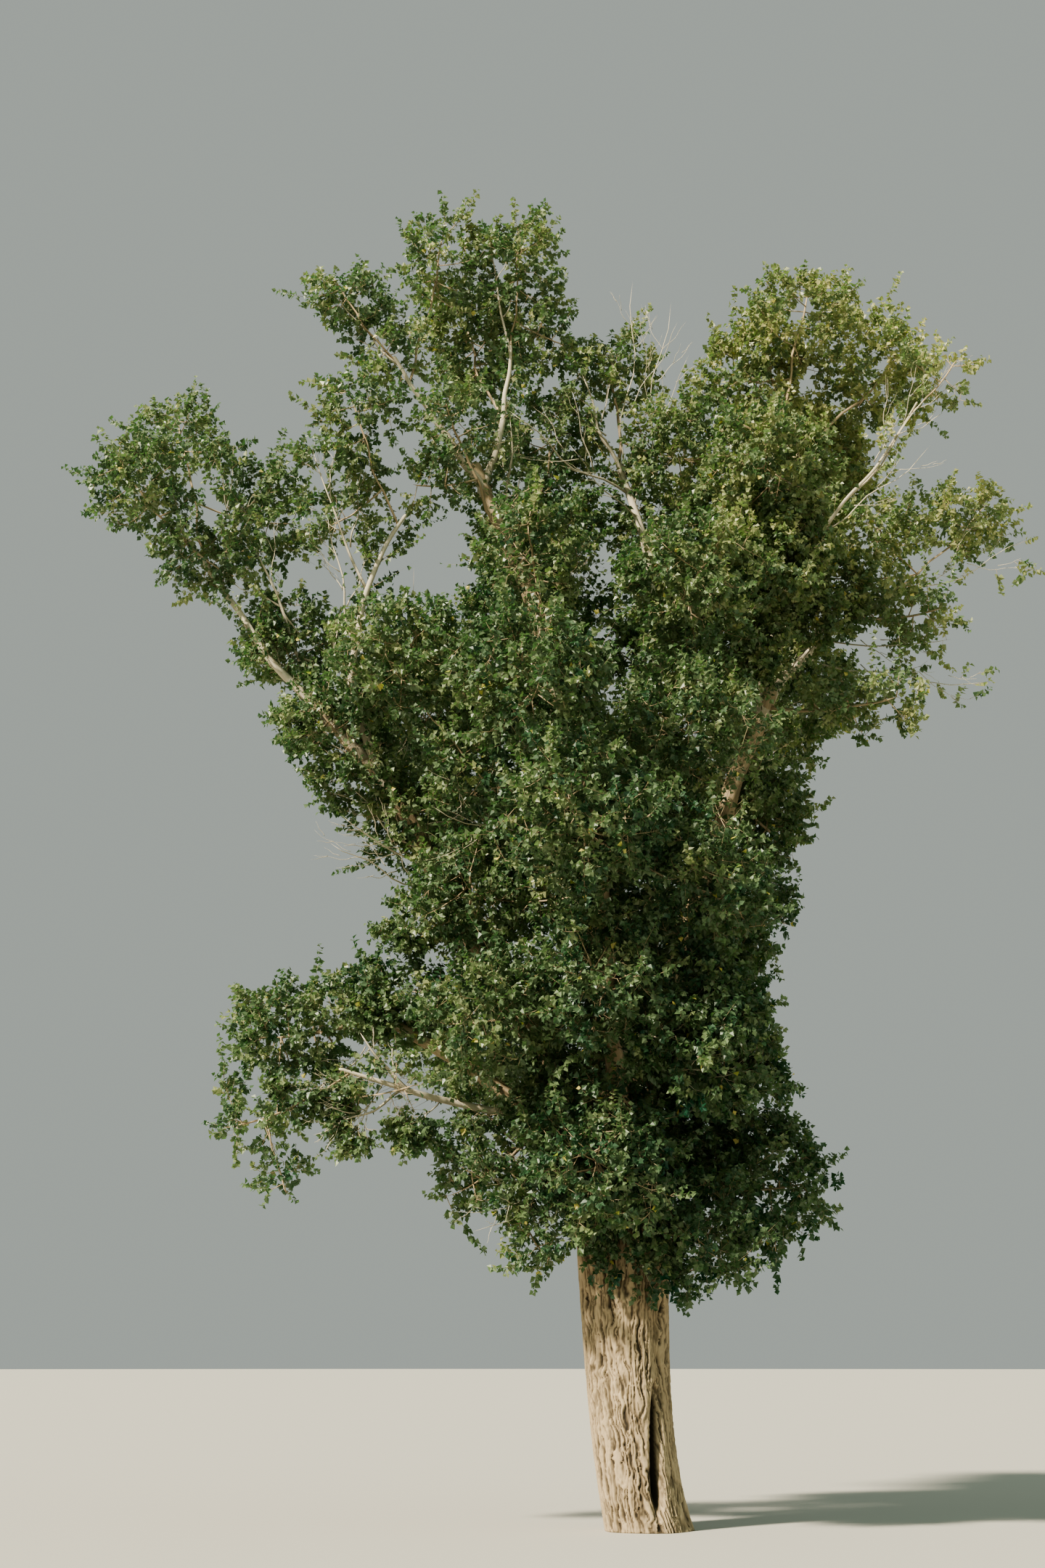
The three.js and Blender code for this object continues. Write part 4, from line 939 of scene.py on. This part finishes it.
@functools.lru_cache(maxsize=1)
def grown_crown(seed):
    """Every mass's stems, all branchlets and shoots as arrays, and the branchlet of each side shoot."""
    random = np.random.default_rng(seed)
    stems, branchlets, spaces = [], [], []
    for index, row in enumerate(MASSES):
        for east, north, up, spread, rise in row.lobes:
            sizes = np.array([spread, spread, rise]) * sight_scale(north)
            spaces.append((index, (set_out((east, north, up)), sizes)))
    for index, row in enumerate(MASSES):
        limb = LIMBS[row.limb]
        lobes = [lobe for mass, lobe in spaces if mass == index]
        girth = min(STEM_RADIUS, STEM_SHARE * float(limb.radius(row.at)))
        stem = stem_through(lobes[0], limb.axis(row.at), (girth, STEM_TIP), index + 100)
        stems.append(stem)
        for number, lobe in enumerate(lobes):
            arm = stem
            if number:
                shares = np.array(ARM_SHARES)
                near = shares[np.argmin(np.linalg.norm(stem.axis(shares) - lobe[0], axis=-1))]
                arm_girth = (STEM_SHARE * float(stem.radius(near)), STEM_TIP * STEM_SHARE)
                arm = stem_through(lobe, stem.axis(near), arm_girth, index + 200)
                stems.append(arm)
            along = np.arange(0.3, 0.99, JOINT_STEP / arm.length)
            joints = [arm.axis(along), arm.radius(along)]
            spread, _, rise = lobe[1]
            lumps = index * 3 + number
            count = round(LEADERS_PER_M2 * math.pi * spread * rise * (0.5 + 0.5 * row.fullness))
            targets = spread_targets(lobe, count, LEADER_BAND, random)
            targets[:, 2] += LEADER_RISE * rise
            waves = [grow_wave(lobe, joints, targets, LEADER_FINEST, LEADER_REACH, lumps)]
            bulk = 4 / 3 * math.pi * spread**2 * rise
            count = round(BRANCHLETS_PER_M3 * bulk * row.fullness**2)
            targets = spread_targets(lobe, count, BRANCHLET_BAND, random)
            waves.append(grow_wave(lobe, joints, targets, BRANCHLET_FINEST, 1, lumps))
            for feet, tips, sizes in waves:
                own = in_own_space(tips, index, reach_in(lobe, tips), spaces)
                branchlets.append((feet[own], tips[own], sizes[own]))
    branchlets = [np.concatenate(column) for column in zip(*branchlets)]
    side_feet, side_tips, of = side_shoots(branchlets, random)
    limb_feet, limb_tips = limb_shoots(random)
    feet = np.concatenate([side_feet, limb_feet])
    tips = np.concatenate([side_tips, limb_tips])
    return stems, branchlets, (feet, tips), of


def along_twig(feet, tips, share):
    """The place at a share of each twig: a straight line that sags in the middle by a share of its length."""
    length = np.linalg.norm(tips - feet, axis=-1)
    drop = TWIG_SAG * length * share * (1 - share)
    return feet + (tips - feet) * share[:, None] - UP * drop[:, None]


def side_shoots(branchlets, random):
    """Shoots along each branchlet, by the golden angle round it, and one that carries on from its tip.

    Side shoots leave slanting forwards and upwards, shorter towards the tip. Returns the shoots'
    feet and tips, and the branchlet of each.
    """
    feet, tips, sizes = branchlets
    length = np.linalg.norm(tips - feet, axis=-1)
    heading = unit(tips - feet)
    count = np.clip(np.round(length / SHOOT_STEP), *SHOOTS_EACH).astype(int)
    of, number = numbered(count)
    share = SHOOTS_FROM + SHOOTS_OVER * (number + random.random(len(of))) / count[of]
    turn = number * GOLDEN_ANGLE + ANY_TURN * random.random(len(feet))[of]
    out = ways_round(heading[of], turn[:, None])
    way = slanted(SHOOT_SLANT, out, heading[of], random)
    reach = by_chance(SHOOT_LENGTH, random.random(len(of))) * (FOOT_SHOOTS - SHOOT_LOSS * share)
    foot = along_twig(feet[of], tips[of], share)
    end_way = slanted(TIP_SLANT, heading, heading, random)
    leading = sizes > LEADER_GIRTH
    end_reach = by_chance(END_SHOOT_LENGTH, random.random(len(feet)))
    end_reach = end_reach + LONG_END_SHOOT * leading * random.random(len(feet)) ** 2
    return (
        np.concatenate([foot, tips]),
        np.concatenate([foot + way * reach[:, None], tips + end_way * end_reach[:, None]]),
        np.concatenate([of, np.arange(len(feet))]),
    )


def limb_shoots(random):
    """Short leafy shoots on the limbs, by the area of bark, and along the leafy ones of the twigs."""
    feet, tips = [], []
    along, up = LIMB_SHOOT_SLANT
    for name, limb in LIMBS.items():
        low = LIMB_SHOOTS_FROM.get(name, LIMB_SHOOTS_LOW)
        area = 2 * math.pi * float(limb.radius((low + 1) / 2)) * limb.length * (1 - low)
        chance = random.random(round(LIMB_SHOOTS_PER_M2 * area))
        share = by_chance((low, LIMB_SHOOTS_HIGH - low), chance)
        heading = heading_at(limb, share)
        out = ways_round(heading, 2 * math.pi * random.random(len(share))[:, None])
        reach = by_chance(LIMB_SHOOT_LENGTH, random.random(len(share))[:, None] ** 1.6)
        foot = limb.axis(share)
        feet.append(foot)
        out = out * (limb.radius(share)[:, None] + reach)
        tips.append(foot + out + heading * reach * along + UP * reach * up)
    twig_feet, twig_tips, _, leafy = grown_long_twigs()
    of = np.repeat(np.arange(len(leafy)), leafy)
    share = 1 - TWIG_SHOOTS_OVER * random.random(len(of)) ** 1.5
    starts = along_twig(twig_feet[of], twig_tips[of], share)
    heading = unit(twig_tips - twig_feet)[of]
    ways = slanted(TWIG_SHOOT_SLANT, heading, heading, random)
    feet.append(starts)
    tips.append(starts + ways * by_chance(TWIG_SHOOT_LENGTH, random.random(len(of)))[:, None])
    return np.concatenate(feet), np.concatenate(tips)


@functools.lru_cache(maxsize=1)
def grown_long_twigs():
    """The long twigs with their side twigs: feet, tips, girths and leafy shoots to each end."""
    random = np.random.default_rng(TWIG_SEED)
    parts = [fanned_twig(row, random) for row in LONG_TWIGS]
    return [np.concatenate(column) for column in zip(*parts)]


def twig_points(feet, tips, rows, sway=0.0):
    """Points along each twig, which may sway: sideways by a wave that's nothing at both ends."""
    places = [along_twig(feet, tips, np.full(len(feet), share)) for share in np.linspace(0, 1, rows)]
    share = np.linspace(0, 1, rows)[None, :, None]
    number = np.arange(len(feet))
    out = ways_round(unit(tips - feet), 2 * math.pi * hashed(number, 1, 5)[:, None])
    length = np.linalg.norm(tips - feet, axis=-1)[:, None, None]
    wave = np.sin(9 * share + ANY_TURN * hashed(number, 2, 5)[:, None, None]) * share * (1 - share)
    return np.stack(places, axis=1) + 4 * sway * length * wave * out[:, None]


def many_twigs(name, points, girths):
    """Three-sided twigs along rows of points, in one mesh: a ring at each point but the last, the tip."""
    count, rows = points.shape[:2]
    heading = unit(np.gradient(points, axis=1))[:, :-1]
    rims = ways_round(heading[:, :, None], full_turn(3)[:, None])
    rings = points[:, :-1, None] + girths[:, :-1, None, None] * rims
    placed_points = np.concatenate([rings.reshape(count, -1, 3), points[:, -1:]], axis=1)
    corners = placed_points.shape[1]
    shift = (np.arange(count) * corners)[:, None, None]
    last = 3 * (rows - 2) + np.arange(3)
    cone = np.stack([last, np.roll(last, -1), np.full(3, corners - 1)], axis=-1)
    ends = np.concatenate([np.array([[2, 1, 0]]), cone])
    faces = [(ends[None] + shift).reshape(-1, 3)]
    if rows > 2:
        faces.insert(0, (tube_faces(rows - 1, 3)[None] + shift).reshape(-1, 4))
    return mesh_object(name, placed_points, faces)


def in_limb(points):
    """Whether each point lies inside a limb or nearer to it than the clearance."""
    inside = np.zeros(len(points), bool)
    share = np.linspace(0, 1, LIMB_SAMPLES)
    for limb in LIMBS.values():
        centres = limb.axis(share)
        thick = limb.radius(share) + LIMB_CLEARANCE
        low = (centres - thick[:, None]).min(0)
        high = (centres + thick[:, None]).max(0)
        near = np.flatnonzero(np.all((points > low) & (points < high), axis=-1))
        for chunk in in_lots(near):
            apart = np.linalg.norm(points[chunk][:, None] - centres[None], axis=-1)
            inside[chunk] |= np.any(apart < thick, axis=-1)
    return inside


def seen_at(points):
    """Places as the tables give them: moved along their lines of sight to the plane of the trunk."""
    return VIEWPOINT + (points - VIEWPOINT) / sight_scale(points[:, 1])[:, None]


def window_lines():
    """The middles, half widths and share of leaves kept, for each stretch of limb or twig that shows."""
    for name, low, high, keeps in WINDOWS:
        limb = LIMBS[name]
        share = np.linspace(low, high, max(8, int(limb.length * (high - low) / WINDOW_STEP)))
        yield limb.axis(share), limb.radius(share), keeps
    for row in LONG_TWIGS:
        if row.leafy <= SHOWN_LEAFY:
            foot = LIMBS[row.limb].axis(row.at)
            share = np.linspace(*TWIG_SHOWN, TWIG_SAMPLES)[:, None]
            yield foot + (set_out(row.tip) - foot) * share, np.full(TWIG_SAMPLES, row.girth), TWIG_KEEPS


def in_window(points, random):
    """Leaves that would hide a limb or sky that shows, but for the share kept, with a ragged margin."""
    seen = seen_at(points)[:, ::2]  # east and height
    chance = random.random(len(points))
    margin = WINDOW_MARGIN * random.random(len(points))
    hiding = np.zeros(len(points), bool)
    for centres, radii, keeps in window_lines():
        line = seen_at(centres)[:, ::2]
        width = radii / sight_scale(centres[:, 1])
        low = line.min(0) - width.max() - WINDOW_MARGIN
        high = line.max(0) + width.max() + WINDOW_MARGIN
        inside = np.all((seen > low) & (seen < high), axis=-1)
        for chunk in in_lots(np.flatnonzero(inside & (chance > keeps))):
            off = seen[chunk][:, None] - line
            near = np.hypot(off[..., 0], off[..., 1]) < width + margin[chunk][:, None]
            before = points[chunk][:, None, 1] < centres[None, :, 1] + WINDOW_DEPTH
            hiding[chunk] |= np.any(near & before, axis=-1)
    for middle, halves, keeps in SKY_GAPS:
        apart = np.hypot(*((seen - middle) / halves).T)
        least, more = GAP_EDGE
        hiding |= (apart < least + more * margin / WINDOW_MARGIN) & (chance > keeps)
    return hiding


def leaf_places(feet, tips, random):
    """Leaves along each shoot by the golden angle: roots, ways out, headings, shoots, and shares of them."""
    length = np.linalg.norm(tips - feet, axis=-1)
    count = np.clip(np.round(length / LEAF_STEP), *LEAVES_EACH).astype(int)
    shoot, number = numbered(count)
    place = number + LEAF_STRAY * random.random(len(shoot))
    share = LEAVES_FROM + LEAVES_OVER * place / count[shoot]
    heading = unit(tips - feet)[shoot]
    first = ANY_TURN * random.random(len(feet))[shoot]
    turn = number * GOLDEN_ANGLE + first + LEAF_TURN * random.normal(size=len(shoot))
    roots = feet[shoot] + (tips - feet)[shoot] * share[:, None]
    return roots, ways_round(heading, turn[:, None]), heading, shoot, share


def leaf_mesh(name, roots, ways, faces_up, lengths, crown):
    """Leaves as two triangles each, folded along the rib: stalk, shoulder and tip on either hand.

    A corner is root + length (along way + across side + lift normal): the shoulders are lifted by
    the fold, and the tip is bent down.
    """
    side = unit(np.cross(ways, faces_up))
    normal = np.cross(side, ways)
    half = crown.leaf_width / 2
    across = half * math.cos(crown.leaf_fold)
    lift = half * math.sin(crown.leaf_fold)
    corners = np.array([
        (0, 0, 0), (LEAF_SHOULDER, across, lift), (1, 0, -LEAF_BEND), (LEAF_SHOULDER, -across, lift),
    ])
    points = roots[:, None] + lengths[:, None, None] * (
        corners[:, :1] * ways[:, None] + corners[:, 1:2] * side[:, None] + corners[:, 2:] * normal[:, None]
    )
    shift = (4 * np.arange(len(roots)))[:, None, None]
    halves = np.array([[0, 1, 2], [0, 2, 3]]) + shift
    return mesh_object(name, points, [halves.reshape(-1, 3)], smooth=False)


def fanned_twig(row, random):
    """A long twig, its side twigs further and further along it to either hand, and two small ones on each."""
    limb = LIMBS[row.limb]
    foot = limb.axis(row.at)
    tip = set_out(row.tip)
    heading = unit(tip - foot)
    length = np.linalg.norm(tip - foot)
    feet, tips, girths = [foot], [tip], [row.girth]
    for fork in range(row.forks):
        share = SIDE_TWIG_FROM + SIDE_TWIG_BAND * fork / row.forks
        hand = 1 if fork % 2 else -1
        sideways = unit(np.cross(heading, REFERENCE + 0.8 * random.normal(size=3)))
        way = unit(heading + hand * SIDE_TWIG_SPREAD * sideways + SIDE_TWIG_RISE * UP)
        start = foot + (tip - foot) * share
        reach = length * (0.5 - 0.3 * share) * (0.7 + 0.6 * random.random())
        feet.append(start)
        tips.append(start + way * reach)
        girths.append(row.girth * (1 - share) * 0.6 + 0.002)
        for share_on, turned in SMALL_TWIGS:
            begin = start + way * reach * share_on
            bent = unit(way + turned * 0.6 * np.cross(way, sideways) - 0.2 * hand * sideways)
            feet.append(begin)
            tips.append(begin + bent * reach * SMALL_TWIG_SHARE)
            girths.append(SIDE_TWIG_GIRTH)
    return np.array(feet), np.array(tips), np.array(girths), np.full(len(feet), row.leafy)


def leaf_tints(branchlets, tips, of, random):
    """A tint for each shoot, dealt by its branchlet: yellower upwards, east and low in the west, as painted
    light.
    """
    spray = random.random(len(branchlets[0]))
    chance = np.concatenate([spray[of], random.random(len(tips) - len(of))])
    # painted light: the sunlit top, the east and the low west get brighter, yellower tints
    height = tips[:, 2] / MODEL_BOX[1][2]
    east = np.clip(tips[:, 0] / 3, -0.5, 1) * height
    low_west = np.clip(-tips[:, 0] / 2, 0, 1) * (1 - height)
    youth_and_painted_light = SPRAY_YOUTH * chance + HEIGHT_PAINTED_LIGHT * height**1.7 + OWN_YOUTH * random.random(len(tips))
    youth_and_painted_light = youth_and_painted_light + EAST_PAINTED_LIGHT * east + LOW_WEST_PAINTED_LIGHT * low_west
    return np.clip((youth_and_painted_light * TINTS).astype(int), 0, TINTS - 1)


def length_property(name, description, default):
    return FloatProperty(name=name, description=description, default=default, unit="LENGTH")


def colour_property(name, description, default):
    return FloatVectorProperty(name=name, description=description, default=default, subtype="COLOR")


def strength_property(name, description, default):
    return FloatProperty(name=name, description=description, default=default)


class BarkSettings(bpy.types.PropertyGroup):
    furrow_depth: length_property("Furrow depth", "Depth of the trunk's furrows", 0.03)
    furrow_spacing: length_property("Furrow spacing", "From one furrow to the next", 0.06)
    ring_step: length_property("Ring step", "Length of bough to each ring", 0.05)
    column_step: length_property("Column step", "Width of bough to each column", 0.019)
    seed: IntProperty(name="Seed", description="Changes the run of the furrows", default=3)
    ridge: colour_property("Ridge", "Colour of the ridges", (0.47, 0.365, 0.24))
    flank: colour_property("Flank", "Colour of the furrows' sides", (0.21, 0.16, 0.102))
    # furrows' floors: partly the bark's own darker colour, partly painted shade
    furrow: colour_property("Furrow", "Colour of the furrows' floors", (0.036, 0.027, 0.017))
    pale: colour_property("Pale bark", "Colour of the smooth upper limbs", (0.57, 0.51, 0.4))


class CrownSettings(bpy.types.PropertyGroup):
    leaf_length: length_property("Leaf length", "Of a middling leaf, with its stalk", 0.063)
    leaf_width: FloatProperty(
        name="Leaf width", description="Share of its length", default=1.0, subtype="FACTOR")
    leaf_fold: FloatProperty(
        name="Leaf fold", description="Rise of each half off the rib", default=0.3, subtype="ANGLE")
    seed: IntProperty(name="Seed", description="Changes how the crown grows", default=11)
    # the deep and bright ends carry painted shade and painted light as well as the leaves' own range
    deep: colour_property("Deep leaves", "Colour of the oldest leaves", (0.01, 0.056, 0.028))
    full: colour_property("Full-grown leaves", "Colour of most leaves", (0.134, 0.176, 0.086))
    bright: colour_property("Bright leaves", "Colour of the youngest leaves", (0.41, 0.37, 0.175))
    yellow: colour_property("Yellow leaves", "Colour of the few yellowed leaves", (0.5, 0.42, 0.13))


class StageSettings(bpy.types.PropertyGroup):
    sun_height: FloatProperty(
        name="Sun height", description="Above the horizon", default=math.radians(39), subtype="ANGLE")
    sun_strength: strength_property("Sun strength", "Strength of the key light", 9.0)
    sky_strength: strength_property("Sky strength", "Strength of the light all round", 0.42)
    fill_strength: strength_property("Fill strength", "Strength of the soft light in the shade", 0.65)
    floor_colour: colour_property("Floor", "Colour of the floor", (0.45, 0.43, 0.38))


class POPLAR_OT_trunk(bpy.types.Operator):
    """Makes the trunk's mesh, with furrowed bark"""
    bl_idname = "poplar.trunk"
    bl_label = "Trunk"

    def execute(self, context):
        bark = context.scene.poplar_bark
        finished(make_trunk(bark), bark_material("trunk_bark", bark), "trunk_bark", "trunk")
        return {"FINISHED"}


class POPLAR_OT_boughs(bpy.types.Operator):
    """Makes every bough's mesh, furrowed low down and pale and smooth above"""
    bl_idname = "poplar.boughs"
    bl_label = "Boughs"

    def execute(self, context):
        bark = context.scene.poplar_bark
        old = bark_material("bough_bark", bark)
        pale = bark_material("pale_bark", bark)
        for row in BOUGHS:
            material = old if row.parent == "trunk" else pale
            finished(make_bough(row, bark), material, "bough_bark", f"bough_{row.name}")
        return {"FINISHED"}


class POPLAR_OT_twigs(bpy.types.Operator):
    """Makes the masses' stems, their branchlets and their leafy shoots"""
    bl_idname = "poplar.twigs"
    bl_label = "Twigs"

    def execute(self, context):
        bark = context.scene.poplar_bark
        material = bark_material("twig_bark", bark)
        stems, (feet, tips, sizes), shoots, _ = grown_crown(context.scene.poplar_crown.seed)
        share = np.linspace(0, 1, STEM_ROWS)
        stem_points = np.stack([stem.axis(share) for stem in stems])
        stem_girths = np.stack([stem.radius(share) for stem in stems])
        taper = 1 - BRANCHLET_TAPER * np.linspace(0, 1, TWIG_ROWS)
        made = [
            many_twigs("stems", stem_points, stem_girths),
            many_twigs("branchlets", twig_points(feet, tips, TWIG_ROWS), sizes[:, None] * taper),
            many_twigs("shoots", np.stack(shoots, axis=1), np.full((len(shoots[0]), 2), SHOOT_GIRTH)),
        ]
        for piece in made:
            finished(piece, material, "bough_bark", *MASS_NODES)
        return {"FINISHED"}


class POPLAR_OT_leaves(bpy.types.Operator):
    """Makes the leaves, in sprays, one piece to each tint"""
    bl_idname = "poplar.leaves"
    bl_label = "Leaves"

    def execute(self, context):
        crown = context.scene.poplar_crown
        random = np.random.default_rng(crown.seed + 1)
        _, branchlets, (feet, tips), of = grown_crown(crown.seed)
        tint = leaf_tints(branchlets, tips, of, random)
        roots, out, heading, shoot, share = leaf_places(feet, tips, random)
        middles = roots + LEAF_MIDDLE * out
        spare = BOX_SPARE * (MODEL_BOX[1] - MODEL_BOX[0])
        low = np.array(MODEL_BOX[0] - spare)
        high = np.array(MODEL_BOX[1] + spare)
        clear = ~in_limb(middles) & ~in_window(middles, random)
        clear &= np.all((middles > low) & (middles < high), axis=-1)
        roots, out, heading, shoot, share = (a[clear] for a in (roots, out, heading, shoot, share))
        ways = slanted(LEAF_SLANT, out, heading, random)
        along, up, across, scatter = LEAF_FACE
        stray = random.normal(size=out.shape)
        faces_up = unit(along * heading + up * UP + across * out + scatter * stray)
        lengths = crown.leaf_length * (FOOT_LEAVES - LEAF_LOSS * share)
        lengths = lengths * by_chance(LEAF_LENGTHS, random.random(len(share)))
        tint = np.where(random.random(len(shoot)) < YELLOWED, TINTS, tint[shoot])
        # tints from deep to bright: the leaves' own range, with painted shade low down and painted light
        # where sunlit
        ages = np.linspace(0, 1, TINTS)
        columns = [np.interp(ages, (0, 0.5, 1), stops) for stops in zip(crown.deep, crown.full, crown.bright)]
        for number, colour in enumerate([*np.stack(columns, axis=-1), np.array(crown.yellow)]):
            material = leaf_material(f"leaf_{number}", colour, colour * GLOW_TINT)
            here = tint == number
            leaves = [part[here] for part in (roots, ways, faces_up, lengths)]
            piece = leaf_mesh(f"leaves_{number}", *leaves, crown)
            finished(piece, material, "leaf_green", *MASS_NODES)
        return {"FINISHED"}


class POPLAR_OT_long_twigs(bpy.types.Operator):
    """Makes the long twigs that stand out of the crown or fill it, bare or leafy"""
    bl_idname = "poplar.long_twigs"
    bl_label = "Long twigs"

    def execute(self, context):
        bark = context.scene.poplar_bark
        feet, tips, girths, _ = grown_long_twigs()
        points = twig_points(feet, tips, LONG_TWIG_ROWS, LONG_TWIG_SWAY)
        taper = 1 - LONG_TWIG_TAPER * np.linspace(0, 1, LONG_TWIG_ROWS)
        piece = many_twigs("long_twigs", points, girths[:, None] * taper)
        finished(piece, bark_material("long_twig_bark", bark), "bough_bark")
        return {"FINISHED"}


def shine(name, strength, spread, colour, travel):
    """A sun lamp whose light runs along travel and is spread over so many degrees."""
    lamp = placed(name, bpy.data.lights.new(name, "SUN"))
    lamp.data.energy = strength
    lamp.data.angle = math.radians(spread)
    lamp.data.color = colour
    lamp.rotation_euler = Vector(travel).to_track_quat("-Z", "Y").to_euler()


class POPLAR_OT_stage(bpy.types.Operator):
    """Makes the floor, the light and the camera"""
    bl_idname = "poplar.stage"
    bl_label = "Stage"

    def execute(self, context):
        stage = context.scene.poplar_stage
        angle = full_turn(FLOOR_SIDES)
        rim = FLOOR_RADIUS * np.stack([np.cos(angle), np.sin(angle), np.zeros(FLOOR_SIDES)], axis=-1)
        floor = mesh_object("floor", rim, [np.arange(FLOOR_SIDES)[None]], smooth=False)
        material, tree, surface = shader("floor")
        fill_inputs(tree, surface, {"Base Color": (*stage.floor_colour, 1), "Roughness": 0.95})
        floor.data.materials.append(material)
        floor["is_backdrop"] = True
        world = bpy.data.worlds.new("sky")
        world.use_nodes = True
        sky = {"Color": (*SKY_COLOUR, 1), "Strength": stage.sky_strength}
        fill_inputs(world.node_tree, world.node_tree.nodes["Background"], sky)
        context.scene.world = world
        context.scene.view_settings.look = "AgX - Medium High Contrast"
        flat = math.cos(stage.sun_height)
        travel = (SUN_TRAVEL[0] * flat, SUN_TRAVEL[1] * flat, -math.sin(stage.sun_height))
        shine("sun", stage.sun_strength, SUN_SPREAD, SUN_COLOUR, travel)
        shine("fill", stage.fill_strength, FILL_SPREAD, FILL_COLOUR, FILL_TRAVEL)
        camera = placed("camera", bpy.data.cameras.new("camera"))
        camera.data.lens = LENS
        camera.data.sensor_width = SENSOR
        camera.data.clip_end = 1000
        camera.location = EYE
        camera.rotation_euler = (math.radians(90 + TILT), 0, 0)
        context.scene.camera = camera
        return {"FINISHED"}


class POPLAR_PT_panel(bpy.types.Panel):
    bl_idname = "POPLAR_PT_panel"
    bl_label = "Poplar"
    bl_space_type = "VIEW_3D"
    bl_region_type = "UI"
    bl_category = "Poplar"

    def draw(self, context):
        for operator in OPERATORS:
            self.layout.operator(operator.bl_idname)
        for settings in (context.scene.poplar_bark, context.scene.poplar_crown, context.scene.poplar_stage):
            box = self.layout.box()
            for name in settings.__annotations__:
                box.prop(settings, name)


OPERATORS = (
    POPLAR_OT_trunk,
    POPLAR_OT_boughs,
    POPLAR_OT_twigs,
    POPLAR_OT_leaves,
    POPLAR_OT_long_twigs,
    POPLAR_OT_stage,
)
SETTINGS = {"poplar_bark": BarkSettings, "poplar_crown": CrownSettings, "poplar_stage": StageSettings}


def register():
    for kind in (*SETTINGS.values(), *OPERATORS, POPLAR_PT_panel):
        bpy.utils.register_class(kind)
    for name, kind in SETTINGS.items():
        setattr(bpy.types.Scene, name, PointerProperty(type=kind))


def unregister():
    for name in SETTINGS:
        delattr(bpy.types.Scene, name)
    for kind in reversed((*SETTINGS.values(), *OPERATORS, POPLAR_PT_panel)):
        bpy.utils.unregister_class(kind)


def main():
    register()
    bpy.ops.poplar.stage()
    bpy.ops.poplar.trunk()
    bpy.ops.poplar.boughs()
    bpy.ops.poplar.twigs()
    bpy.ops.poplar.leaves()
    bpy.ops.poplar.long_twigs()
    boxes = {"cad": MODEL_BOX, "visual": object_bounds()}
    boxes = {name: [[float(x) for x in corner] for corner in box] for name, box in boxes.items()}


if __name__ == "__main__":
    main()
